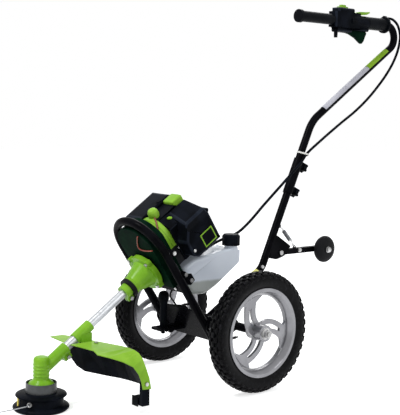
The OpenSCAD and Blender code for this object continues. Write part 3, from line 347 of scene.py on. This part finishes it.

# %% [markdown]
# Three finishes need more. The drive tube is drawn aluminium, so its grain runs along the tube. The tank is
# milky plastic that lets some light in. It also glows faintly, a painted glow, and below a level it is darker,
# a painted shade laid out as a fuel level. The tyre has fine rings pressed into its wall, which are circles
# about the axle.

# %% Drawn tube, milky tank and tyre rubber
drawn_tube = Finish("drawn_tube", Metallic=1.0)
streaks = drawn_tube.cloud(220, 3.0, drawn_tube.stretched((LEAN, 0, 0), (1, 0.02, 1)))
drawn_tube.feed("Base Color", drawn_tube.mixed(streaks, shade(166, 169, 173), shade(204, 207, 210)))
drawn_tube.feed("Roughness", streaks * 0.16 + 0.24)
drawn_tube.raised(streaks, 0.15, 0.0002)

SHADE_LEVEL = (0.312, 0.322)
# The tank glows faintly, a painted glow standing in for light that passes through the milky plastic.
milky_tank = Finish("milky_tank", Subsurface_Weight=0.1, Subsurface_Radius=(0.02, 0.02, 0.02),
                    Subsurface_Scale=0.6, Emission_Strength=0.05)
height = milky_tank.node("ShaderNodeSeparateXYZ", (), milky_tank.place, out="Z")
# Below the level the tank's colour and glow are darker: painted shade, laid out as a fuel level.
shaded_low = 1 - (height + milky_tank.cloud(30) * 0.004).spread(*SHADE_LEVEL)
clear = milky_tank.mixed(milky_tank.cloud(14, 3.0), shade(204, 212, 224), shade(220, 227, 237))
milky_tank.feed("Base Color", milky_tank.mixed(shaded_low * 0.8, clear, shade(150, 155, 146)))
milky_tank.feed("Emission Color", milky_tank.mixed(shaded_low * 0.9, clear, shade(60, 64, 56)))
milky_tank.feed("Roughness", milky_tank.cloud(60) * 0.1 + 0.18)
milky_tank.raised(milky_tank.cloud(160, 3.0), 0.2, 0.0006)

tyre_rubber = Finish("tyre_rubber", Specular_IOR_Level=0.07)
from_axle = tyre_rubber.node("ShaderNodeVectorMath", {"operation": "SUBTRACT"}, tyre_rubber.place,
                             tuple(at(0, 0, AXLE_HEIGHT)))
around = tyre_rubber.node("ShaderNodeVectorMath", {"operation": "MULTIPLY"}, from_axle, (0, 1, 1))
radius = tyre_rubber.node("ShaderNodeVectorMath", {"operation": "LENGTH"}, around, out="Value")
RING_WAVE = 2500
rings = (radius * RING_WAVE).sine() * radius.spread(0.136, 0.14) * (1 - radius.spread(0.156, 0.16))
dust = tyre_rubber.cloud(90, 5.0)
tyre_rubber.feed("Base Color", tyre_rubber.mixed(dust.spread(0.5, 0.8), shade(6, 6, 8), shade(30, 30, 34)))
tyre_rubber.feed("Roughness", dust * 0.25 + 0.26)
tyre_rubber.raised(rings * 0.35 + tyre_rubber.cloud(380, 3.0), 0.4, 0.0005)
print("special finishes made")

# %% [markdown]
# Every CAD solid now gets the finish of its real material, save the fan case and trigger, whose dark green is
# painted shade. A table of finishes and solids is easier to read than a line for each, and the few cords get
# theirs in the same cell.

# %% Finish on the solids that stay
finish_of = {
    frame_paint: "axle_tube frame_hoop lower_post post_sleeve handle_tube support_arm",
    cover_plastic: "clamp_knob knob_low knob_high bump_knob spool_body spool_cover cutter guard_skirt "
                   "muffler_cover filter_base filter_cover starter_case starter_handle fuel_cap "
                   "throttle_body speed_lever",
    shaded_lime: "fan_case trigger",
    lime_plastic: "guard_shell cylinder_cowl plug_boot lock_lever stop_switch",
    lime_paint: "gear_case guard_clamp tube_collar bell_housing",
    zinc_plate: "hub_bearings axle_shaft drive_shaft shaft_bearings spindle eyelets bolts clutch_drum "
                "muffler",
    cast_metal: "crank_rotor carburettor",
    block_paint: "engine_block",
    cup_metal: "drive_cup",
    rim_cast: "rim_left rim_right",
    drawn_tube: "drive_tube",
    milky_tank: "fuel_tank",
    tyre_rubber: "tyre_left tyre_right",
    soft_rubber: "prop_wheel bell_ring",
    grip_rubber: "grips",
    tie_nylon: "cable_tie",
}
for finish, names in finish_of.items():
    for name in names.split():
        solids[name].data.materials.clear()
        solids[name].data.materials.append(getattr(finish, "material", finish))
print("solids with a finish", sum(len(n.split()) for n in finish_of.values()))

for cord, finish in ((throttle_cord, cover_plastic), (vent_hose, soft_rubber), (stop_wire, wire_red),
                     (plug_lead, lead_brown), (free_line, line_nylon)):
    cord.data.materials.append(finish)


# %% [markdown]
# Where a solid is moulded or cast, the real piece has rounded corners. A solid is never changed itself, so
# such a piece is a copy: its loose triangles are merged, flat areas become single faces, and a Bevel modifier
# rounds what is left. Tank and covers have larger radii, which are put on chosen edges first, because the
# modifier holds a whole mesh to its shortest edge. On the covers the rounded faces are a little lighter, a
# painted highlight where the edges would catch the light. The copy replaces the solid and rides with it.

# %% Helpers for copies
CORNER_ANGLE = 32
FLAT_ANGLE = 0.5
MERGE_WITHIN = 1e-6


def settle(piece, body, slot, *stands_for):
    bpy.context.scene.collection.objects.link(piece)
    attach(piece, body)
    if stands_for:
        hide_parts(*stands_for)
    return piece


def smooth(mesh, angle=CORNER_ANGLE):
    mesh.polygons.foreach_set("use_smooth", [True] * len(mesh.polygons))
    mesh.set_sharp_from_angle(angle=math.radians(angle))


def sharp(edge):
    return edge.is_manifold and edge.is_convex and edge.calc_face_angle() > math.radians(CORNER_ANGLE)


FACE_ROOM, EDGE_ROOM = 1.25, 2


def broad(edge, size):
    """True where the edge and both faces beside it have room for a radius of this size."""
    narrowest = min(2 * f.calc_area() / f.calc_perimeter() for f in edge.link_faces)
    return sharp(edge) and narrowest > size * FACE_ROOM and edge.calc_length() > size * EDGE_ROOM


TANK_NECK = at(35, 57, 0)
NECK_ROOM = 0.03
TANK_HALF = 0.0605


def on_tank_wall(edge, size):
    """True on the tank's walls, whatever the size, and false at its neck and its lugs."""
    from_neck = [(v.co - TANK_NECK).xy.length for v in edge.verts]
    return (sharp(edge) and min(from_neck) > NECK_ROOM
            and all(abs(v.co.x) < TANK_HALF for v in edge.verts))


print("corners count from", CORNER_ANGLE, "degrees")

# %% Copies with rounded corners
slot_of = {s["node"]: s["material_slot"] for s in frame["record"]["subparts"]}
# Pieces whose rounded faces get the painted highlight.
edge_highlit = ("muffler_cover", "filter_cover", "filter_base", "starter_case", "throttle_body", "fuel_cap")
soft_radius = {"fuel_tank": (12, on_tank_wall), "muffler_cover": (7, broad), "filter_cover": (6, broad),
               "throttle_body": (6.5, broad), "cylinder_cowl": (5, broad)}


def rounded(solid, edge):
    shape = bmesh.new()
    shape.from_mesh(solids[solid].data)
    bmesh.ops.remove_doubles(shape, verts=shape.verts, dist=MERGE_WITHIN)
    bmesh.ops.dissolve_limit(shape, angle_limit=math.radians(FLAT_ANGLE), verts=shape.verts,
                           edges=shape.edges)
    if solid in soft_radius:
        radius, chosen = soft_radius[solid]
        made = bmesh.ops.bevel(shape, geom=[e for e in shape.edges if chosen(e, radius / 1000)],
                               offset=radius / 1000, offset_type="OFFSET", segments=5, profile=0.5,
                               affect="EDGES", clamp_overlap=False, material=-1)
        for face in made["faces"]:
            face.material_index = int(solid in edge_highlit)
    mesh = bpy.data.meshes.new(solid + "_moulded")
    shape.to_mesh(mesh)
    shape.free()
    smooth(mesh)
    mesh.materials.append(solids[solid].data.materials[0])
    if solid in edge_highlit:
        mesh.materials.append(edge_highlight)
    piece = bpy.data.objects.new(solid + "_moulded", mesh)
    corner = piece.modifiers.new("corner", "BEVEL")
    corner.width = edge / 1000
    corner.segments = 2
    corner.limit_method = "ANGLE"
    corner.angle_limit = math.radians(CORNER_ANGLE)
    corner.harden_normals = True
    corner.material = 1 if solid in edge_highlit else -1
    return settle(piece, body_of(solid), slot_of[solid], solid)


corners = {"fan_case": 3, "cylinder_cowl": 1, "muffler_cover": 1, "filter_base": 1.5, "filter_cover": 1,
           "starter_case": 2, "throttle_body": 1, "trigger": 2, "lock_lever": 1.5, "stop_switch": 1.5,
           "speed_lever": 1, "guard_shell": 0.8, "guard_skirt": 0.8, "guard_clamp": 1.2, "cutter": 1.2,
           "fuel_cap": 1.2, "fuel_tank": 0.8, "rim_left": 1.6, "rim_right": 1.6, "gear_case": 1,
           "spool_body": 1, "spool_cover": 1, "drive_cup": 1, "bell_housing": 0.8, "plug_boot": 1,
           "grips": 1.5, "prop_wheel": 1.5, "support_arm": 1, "tube_collar": 0.8, "starter_handle": 1.5,
           "knob_low": 0.8, "knob_high": 0.8, "clamp_knob": 1, "axle_tube": 0.8, "frame_hoop": 0.7,
           "lower_post": 0.7, "post_sleeve": 0.8, "handle_tube": 0.5, "bolts": 0.4, "bell_ring": 0.6,
           "eyelets": 0.4, "cable_tie": 0.4}
for solid, edge in corners.items():
    rounded(solid, edge)
print("rounded copies", len(corners))

# %% [markdown]
# The tyres are the most detailed thing on the machine. A tyre is a section turned about the axle, so it is
# drawn as a short row of points and spun. The tread is separate blocks: one block is shaped and bevelled,
# then spun as copies. The tops of the blocks reach the tyre's full diameter.

# %% Tyres
KNOBS = 42
BLOCK_EDGE = 0.0011
VALVE_WITHIN = 0.116
TYRE_ANGLE = 40
wall = [(126.2, 18.8), (134, 18.9), (140, 23.2), (150, 26.3), (160, 26.6), (167, 24.8), (172, 20),
        (175, 12), (176, 0)]
side_rows = [(11.5, 180, (9, 19, 8), 14, 0.5), (19.5, 176.6, (9.5, 20, 9), 38, 0),
             (23.4, 168.5, (8, 17, 7), 66, 0.5)]
valve_parts = [(0.004, 0.091, 0.126), (0.0026, 0.0835, 0.0915)]


def tread_block(shape, x, radius, size, slope, turn):
    """One block of tread, its top at the radius, turned by a part of the pitch."""
    made = bmesh.ops.create_cube(shape, size=1)["verts"]
    bmesh.ops.scale(shape, verts=made, vec=Vector(size) / 1000)
    top = [v for v in made if v.co.z > 0]
    bmesh.ops.scale(shape, verts=top, vec=(0.8, 0.82, 1))
    edges = {e for v in top for e in v.link_edges}
    bevelled = bmesh.ops.bevel(shape, geom=list(edges), offset=BLOCK_EDGE, offset_type="OFFSET", segments=1,
                               profile=0.5, affect="EDGES", material=-1)["verts"]
    made = [v for v in {*made, *bevelled} if v.is_valid]
    lean = Matrix.Rotation(math.radians(slope), 3, "Y")
    bmesh.ops.rotate(shape, verts=made, cent=(0, 0, 0), matrix=lean)
    bmesh.ops.translate(shape, verts=made, vec=(x / 1000, 0, (radius - size[2] / 2) / 1000))
    part = Matrix.Rotation(turn * math.tau / KNOBS, 3, "X")
    bmesh.ops.rotate(shape, verts=made, cent=(0, 0, 0), matrix=part)
    return made


def tyre(side, name):
    hub = at(WHEEL_OUT * side, 0, AXLE_HEIGHT)
    shape = bmesh.new()
    row = [shape.verts.new((x / 1000, 0, r / 1000)) for r, x in wall]
    row += [shape.verts.new((-x / 1000, 0, r / 1000)) for r, x in reversed(wall[:-1])]
    loop = [shape.edges.new((row[i], row[(i + 1) % len(row)])) for i in range(len(row))]
    bmesh.ops.spin(shape, geom=row + loop, cent=(0, 0, 0), axis=ACROSS, dvec=(0, 0, 0), angle=math.tau,
                   steps=KNOBS * 2, use_merge=True, use_duplicate=False)
    bmesh.ops.recalc_face_normals(shape, faces=shape.faces)
    blocks = [(0, AXLE_HEIGHT, (13, 20, 8), 0, 0)]
    for x, radius, size, slope, turn in side_rows:
        blocks += [(x, radius, size, slope, turn), (-x, radius, size, -slope, turn)]
    for x, radius, size, slope, turn in blocks:
        made = tread_block(shape, x, radius, size, slope, turn)
        geom = made + list({f for v in made for f in v.link_faces})
        geom += list({e for v in made for e in v.link_edges})
        bmesh.ops.spin(shape, geom=geom, cent=(0, 0, 0), axis=ACROSS, dvec=(0, 0, 0),
                       angle=math.tau * (KNOBS - 1) / KNOBS, steps=KNOBS - 1, use_duplicate=True)
    from_hub = [v.co - hub for v in solids[name].data.vertices]
    stem = [p for p in from_hub if p.yz.length < VALVE_WITHIN]
    foot = sum(stem, Vector()) / len(stem)
    out = Vector((0, foot.y, foot.z)) / math.hypot(foot.y, foot.z)
    for thick, low, high in valve_parts:
        aim = Matrix.Translation(out * (low + high) / 2) @ out.to_track_quat("Z", "Y").to_matrix().to_4x4()
        bmesh.ops.create_cone(shape, cap_ends=True, segments=20, radius1=thick, radius2=thick,
                              depth=high - low, matrix=aim)
    bmesh.ops.translate(shape, verts=shape.verts, vec=hub)
    mesh = bpy.data.meshes.new(name + "_tread")
    shape.to_mesh(mesh)
    shape.free()
    smooth(mesh, TYRE_ANGLE)
    mesh.materials.append(tyre_rubber.material)
    return settle(bpy.data.objects.new(name + "_tread", mesh), body_of(name), "tyre", name)


for side, name in ((1, "tyre_left"), (-1, "tyre_right")):
    piece = tyre(side, name)
    print(piece.name, "faces", len(piece.data.polygons))

# %% [markdown]
# The arm's spring is one wire: a hook, thirteen turns, and a hook. It joins the post to the arm that swings.
# A curve is the easy way to draw a wire, and it is made a mesh here.

# %% Arm spring
TURNS, PER_TURN, COIL, LOOP, SPRING_THICK = 13, 14, 0.0056, 0.005, 0.0022
COIL_START, COIL_ENDS = 0.024, 0.054
NECK_TOP, NECK_LOW, NECK_SIDE = 0.014, 0.018, 0.002
top, low = at(0, 303.5, 454), at(0, 375, 380.5)
axis = (low - top).normalized()
around = axis.cross(ACROSS)
coil_long = (low - top).length - COIL_ENDS
steps = TURNS * PER_TURN


def bend(pin, inward, degrees):
    """A point of the hook's loop about a pin."""
    turn = math.radians(degrees)
    return pin + inward * (LOOP - LOOP * math.cos(turn)) + ACROSS * LOOP * math.sin(turn)


hook = [bend(top, axis, v) for v in range(300, 149, -30)] + [top + axis * NECK_TOP + ACROSS * NECK_SIDE]
tail = [low - axis * NECK_LOW + ACROSS * NECK_SIDE] + [bend(low, -axis, v) for v in range(150, 301, 30)]
coil = []
for i in range(steps + 1):
    turn = math.tau * i / PER_TURN
    coil.append(top + axis * (COIL_START + coil_long * i / steps) + ACROSS * COIL * math.cos(turn)
                + around * COIL * math.sin(turn))
spring_line, long = round_cord("spring_wire", hook + coil + tail, SPRING_THICK)
spring_line.data.resolution_u = 3
spring_line.data.bevel_resolution = 2
wire_mesh = bpy.data.meshes.new_from_object(spring_line)
bpy.data.objects.remove(spring_line)
arm_coil = bpy.data.objects.new("arm_coil", wire_mesh)
wire_mesh.materials.append(spring_steel)
bpy.context.scene.collection.objects.link(arm_coil)
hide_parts("arm_spring")
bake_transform(arm_coil)
print("spring wire", round(long, 3), "m, faces", len(wire_mesh.polygons))

# %% [markdown]
# Two vinyl wraps lie on the sloping part of the handle, a white one and a lime one, and a bit of pale tape on
# the foot of the post. A wrap is a straight edge spun part of the way about the tube, so that the tube's
# underside stays bare, and then given the thickness of vinyl.

# %% Wraps on the handle
vinyl_white = skin("vinyl_white", shade(178, 178, 187), shade(192, 192, 200), 0.5, 0.1, 500, 0.00003,
                   Specular_IOR_Level=0.02)
vinyl_lime = skin("vinyl_lime", shade(134, 176, 46), shade(150, 192, 62), 0.5, 0.1, 500, 0.00003,
                  Specular_IOR_Level=0.02)
tape_pale = skin("tape_pale", shade(206, 206, 110), shade(224, 222, 132), 0.5, 0.1, 500, 0.0001)
WRAP_RADIUS, VINYL_THICK, WRAP_STEPS = 0.01285, 0.00012, 28


def finished(shape, name, body, slot, *finishes):
    mesh = bpy.data.meshes.new(name)
    shape.to_mesh(mesh)
    shape.free()
    smooth(mesh)
    for finish in finishes:
        mesh.materials.append(finish)
    return settle(bpy.data.objects.new(name, mesh), body, slot)


def wrap(name, start, end, span, finish, slot, skew=0.0):
    shape = bmesh.new()
    along = (end - start).normalized()
    upward = ACROSS.cross(along).normalized()
    upward = upward if upward.z > 0 else -upward
    first = Matrix.Rotation(math.radians(skew - span / 2), 3, along) @ upward * WRAP_RADIUS
    ends = [shape.verts.new(start + first), shape.verts.new(end + first)]
    edge = shape.edges.new(ends)
    bmesh.ops.spin(shape, geom=ends + [edge], cent=start, axis=along, dvec=(0, 0, 0),
                   angle=math.radians(span), steps=WRAP_STEPS, use_duplicate=False)
    bmesh.ops.solidify(shape, geom=shape.faces, thickness=VINYL_THICK)
    bmesh.ops.recalc_face_normals(shape, faces=shape.faces)
    return finished(shape, name, "chassis", slot, finish)


post_tape = wrap("post_tape", at(0, 186, 294.8), at(0, 208, 308.3), 200, tape_pale, "lime")
white_wrap = wrap("white_wrap", at(0, 495, 837), at(0, 710, 982), 190, vinyl_white, "tank_white", -16)
lime_wrap = wrap("lime_wrap", at(0, 711, 982.6), at(0, 809, 1048), 190, vinyl_lime, "lime", -16)
print("wraps", post_tape.name, white_wrap.name, lime_wrap.name)

# %% [markdown]
# A few small things make the machine look real. The first two are the seat under the plug boot and the choke
# button on the sloping plate. Each is turned: half of its section is drawn as points and spun. `placed_on`
# moves a shape that was made around the origin to its seat, with its own upward axis along the seat's normal.

# %% Boot seat and choke button
def placed_on(shape, seat, normal, turn=0.0):
    aim = normal.normalized().to_track_quat("Z", "Y").to_matrix().to_4x4()
    bmesh.ops.transform(shape, verts=shape.verts,
                        matrix=Matrix.Translation(seat) @ aim @ Matrix.Rotation(math.radians(turn), 4, "Z"))


def turned(outline, steps=32):
    """A closed turning: the outline is radius and height in millimetres, from axis to axis."""
    shape = bmesh.new()
    row = [shape.verts.new((r / 1000, 0, h / 1000)) for r, h in outline]
    line = [shape.edges.new(pair) for pair in zip(row, row[1:])]
    bmesh.ops.spin(shape, geom=row + line, cent=(0, 0, 0), axis=(0, 0, 1), dvec=(0, 0, 0), angle=math.tau,
                   steps=steps, use_merge=True, use_duplicate=False)
    bmesh.ops.remove_doubles(shape, verts=shape.verts, dist=MERGE_WITHIN)
    bmesh.ops.recalc_face_normals(shape, faces=shape.faces)
    return shape


along_engine = (on_engine(0, 1, 0) - on_engine(0, 0, 0)).normalized()
off_engine = (on_engine(0, 0, 1) - on_engine(0, 0, 0)).normalized()

seat = turned([(9.2, 0), (14, 0), (14.6, 0.8), (14.6, 3.4), (13.6, 4.4), (9.2, 4.4), (9.2, 0)])
placed_on(seat, on_engine(6, 108, 546.2), off_engine)
boot_seat = finished(seat, "boot_seat", "chassis", "lime", lime_plastic)

button = turned([(0, 0), (4.6, 0), (5, 0.6), (4.8, 2.2), (3.8, 3.6), (2, 4.3), (0, 4.5)])
bmesh.ops.scale(button, verts=button.verts, vec=(1.6, 1, 1))
slope = Vector((37, 0, -19.5)).normalized()
plate_up = ACROSS * -slope.z + off_engine * slope.x
placed_on(button, on_engine(48, 125, 534.1), plate_up, 12)
choke_button = finished(button, "choke_button", "chassis", "lime", lime_plastic)
print("engine details", boot_seat.name, choke_button.name)

# %% [markdown]
# The filter cover carries a plate with a lime rim and a plain dark middle. It is a thin box. Insetting its
# front face makes the rim, and pushing the inner face in by half a millimetre gives the rim its edge.

# %% Blank plate on the filter cover
PLATE_SIZE = (0.044, 0.05, 0.0016)
RIM_WIDE, RIM_DEEP, RIM_EDGE = 0.0052, 0.0005, 0.0004
plate = bmesh.new()
bmesh.ops.create_cube(plate, size=1)
bmesh.ops.scale(plate, verts=plate.verts, vec=PLATE_SIZE)
front = [f for f in plate.faces if f.normal.z > 0.5]
bmesh.ops.inset_region(plate, faces=front, thickness=RIM_WIDE, depth=0)
for face in front:
    face.material_index = 1
bmesh.ops.translate(plate, verts=list({v for f in front for v in f.verts}), vec=(0, 0, -RIM_DEEP))
rim_edges = [e for e in plate.edges if e.is_boundary or e.calc_face_angle(0) > 1]
bmesh.ops.bevel(plate, geom=rim_edges, offset=RIM_EDGE, offset_type="OFFSET", segments=2, profile=0.5,
                affect="EDGES", material=-1)
upright = Matrix((-off_engine, along_engine, ACROSS)).transposed().to_4x4()
bmesh.ops.transform(plate, verts=plate.verts, matrix=Matrix.Translation(on_engine(122.7, 169, 442)) @ upright)
bmesh.ops.recalc_face_normals(plate, faces=plate.faces)
blank_plate = finished(plate, "blank_plate", "chassis", "lime", lime_plastic, cover_plastic)
print(blank_plate.name, "faces", len(blank_plate.data.polygons))

# %% [markdown]
# The last small pieces are metal: two screws on the engine's front, the bolt and the cap nut of the support
# arm, and the brass pin at the line's eyelet. They are turned in the same way.

# %% Screws and steel on the arm
screw_line = [(0, 0), (3.6, 0), (4, 0.5), (3.9, 1.6), (3, 2.6), (1.2, 3), (0, 3.05)]
screws = [turned(screw_line, 20) for _ in range(2)]
for shape, place in zip(screws, ((70, 95.9, 514), (70, 91.9, 453))):
    placed_on(shape, on_engine(*place), -along_engine)
front_screws = [finished(shape, f"front_screw_{i}", "chassis", "steel", zinc_plate)
                for i, shape in enumerate(screws)]

arm_bolt = turned([(0, 0), (8, 0), (8, 1.4), (6.2, 1.6), (6.2, 4.6), (5.4, 5.4), (0, 5.6)], 24)
placed_on(arm_bolt, at(9, 391, 369), ACROSS)
arm_bolt = finished(arm_bolt, "arm_bolt", body_of("support_arm"), "steel", zinc_plate)
cap_nut = turned([(0, -0.2), (10, -0.2), (10.4, 0.4), (10.4, 1.6), (9, 2), (9, 6.4), (7.6, 8.6), (4, 10),
                  (0, 10.4)], 24)
placed_on(cap_nut, at(45.4, 492, 367), ACROSS)
cap_nut = finished(cap_nut, "cap_nut", body_of("support_arm"), "steel", zinc_plate)
PIN_RADIUS, PIN_FOOT, PIN_TURN = 66.5, 16.2, math.radians(260)
pin = turned([(0, 0), (2.6, 0), (2.6, 21.6), (0, 21.6)], 20)
placed_on(pin, at(*on_head(PIN_RADIUS, PIN_TURN, PIN_FOOT)), Vector((0, 0, 1)))
line_pin = finished(pin, "line_pin", body_of("spool_body"), "steel", brass)
print("small steel", len(front_screws), arm_bolt.name, cap_nut.name, line_pin.name)

# %% [markdown]
# The stage is a pale floor that takes the machine's shadow. A Light Path node lets it glow for the camera and
# in reflections only, so it comes out nearly white and yet adds no light from below.

# %% Floor
FLOOR_HALF = 14
stage_floor = bmesh.new()
bmesh.ops.create_grid(stage_floor, x_segments=1, y_segments=1, size=FLOOR_HALF)
floor_mesh = bpy.data.meshes.new("floor")
stage_floor.to_mesh(floor_mesh)
stage_floor.free()
floor = bpy.data.objects.new("floor", floor_mesh)
bpy.context.scene.collection.objects.link(floor)
pale = Finish("pale_floor", Base_Color=(0.86, 0.86, 0.86, 1), Roughness=0.9, Emission_Strength=0.66)
SEEN_BY = ("Is Camera Ray", "Is Glossy Ray", "Is Transmission Ray")
camera_ray, glossy_ray, through_ray = (pale.node("ShaderNodeLightPath", out=kind) for kind in SEEN_BY)
pale.feed("Emission Color", pale.mixed(camera_ray + glossy_ray + through_ray, (0, 0, 0, 1), (1, 1, 1, 1)))
floor_mesh.materials.append(pale.material)
print("floor", 2 * FLOOR_HALF, "m wide")

# %% [markdown]
# The world lights the machine softly from all sides. The same Light Path node shows a plain white background
# to the camera and to mirrors, while the light that reaches the machine stays weaker and a little blue.

# %% World
world = bpy.data.worlds.new("studio")
bpy.context.scene.world = world
world.use_nodes = True
sky = world.node_tree


def sky_node(kind, *links, **values):
    made = sky.nodes.new(kind)
    for socket, value in values.items():
        made.inputs[socket].default_value = value
    for socket, out in enumerate(links):
        if out:
            sky.links.new(out, made.inputs[socket])
    return made


paths = sky_node("ShaderNodeLightPath").outputs
seen = paths[SEEN_BY[0]]
for kind in SEEN_BY[1:]:
    seen = sky_node("ShaderNodeMath", seen, paths[kind]).outputs[0]
fill = sky_node("ShaderNodeBackground", Color=(0.95, 0.975, 1, 1), Strength=0.41).outputs[0]
white = sky_node("ShaderNodeBackground", Color=(1, 1, 1, 1), Strength=1.0).outputs[0]
sky.links.new(sky_node("ShaderNodeMixShader", seen, fill, white).outputs[0],
              sky.nodes["World Output"].inputs["Surface"])
print("world ready")

# %% [markdown]
# Three area lamps give the machine its form. The key stands high at the left of the camera, as the sun does, a
# weaker one fills the right, and one behind lights the edges. They are placed along the camera's own axes. The
# plain view transform lets colours come out as they were mixed.

# %% Lamps
middle = Vector((0, -0.1, 0.45))


def lamp(name, place, watts, size):
    light = bpy.data.lights.new(name, "AREA")
    light.energy = watts
    light.size = size
    held = bpy.data.objects.new(name, light)
    aim = (middle - place).to_track_quat("-Z", "Y").to_matrix().to_4x4()
    held.matrix_world = Matrix.Translation(place) @ aim
    bpy.context.scene.collection.objects.link(held)


lamp("key", middle + back * 2.0 - right * 2.2 + up * 3.4, 130, 1.2)
lamp("fill", middle + back * 2.0 + right * 2.6 + up * 1.9, 34, 2.0)
lamp("rim", middle - back * 2.4 + right * 0.6 + up * 2.6, 40, 2.0)
bpy.context.scene.view_settings.view_transform = "Standard"
print("stage set")
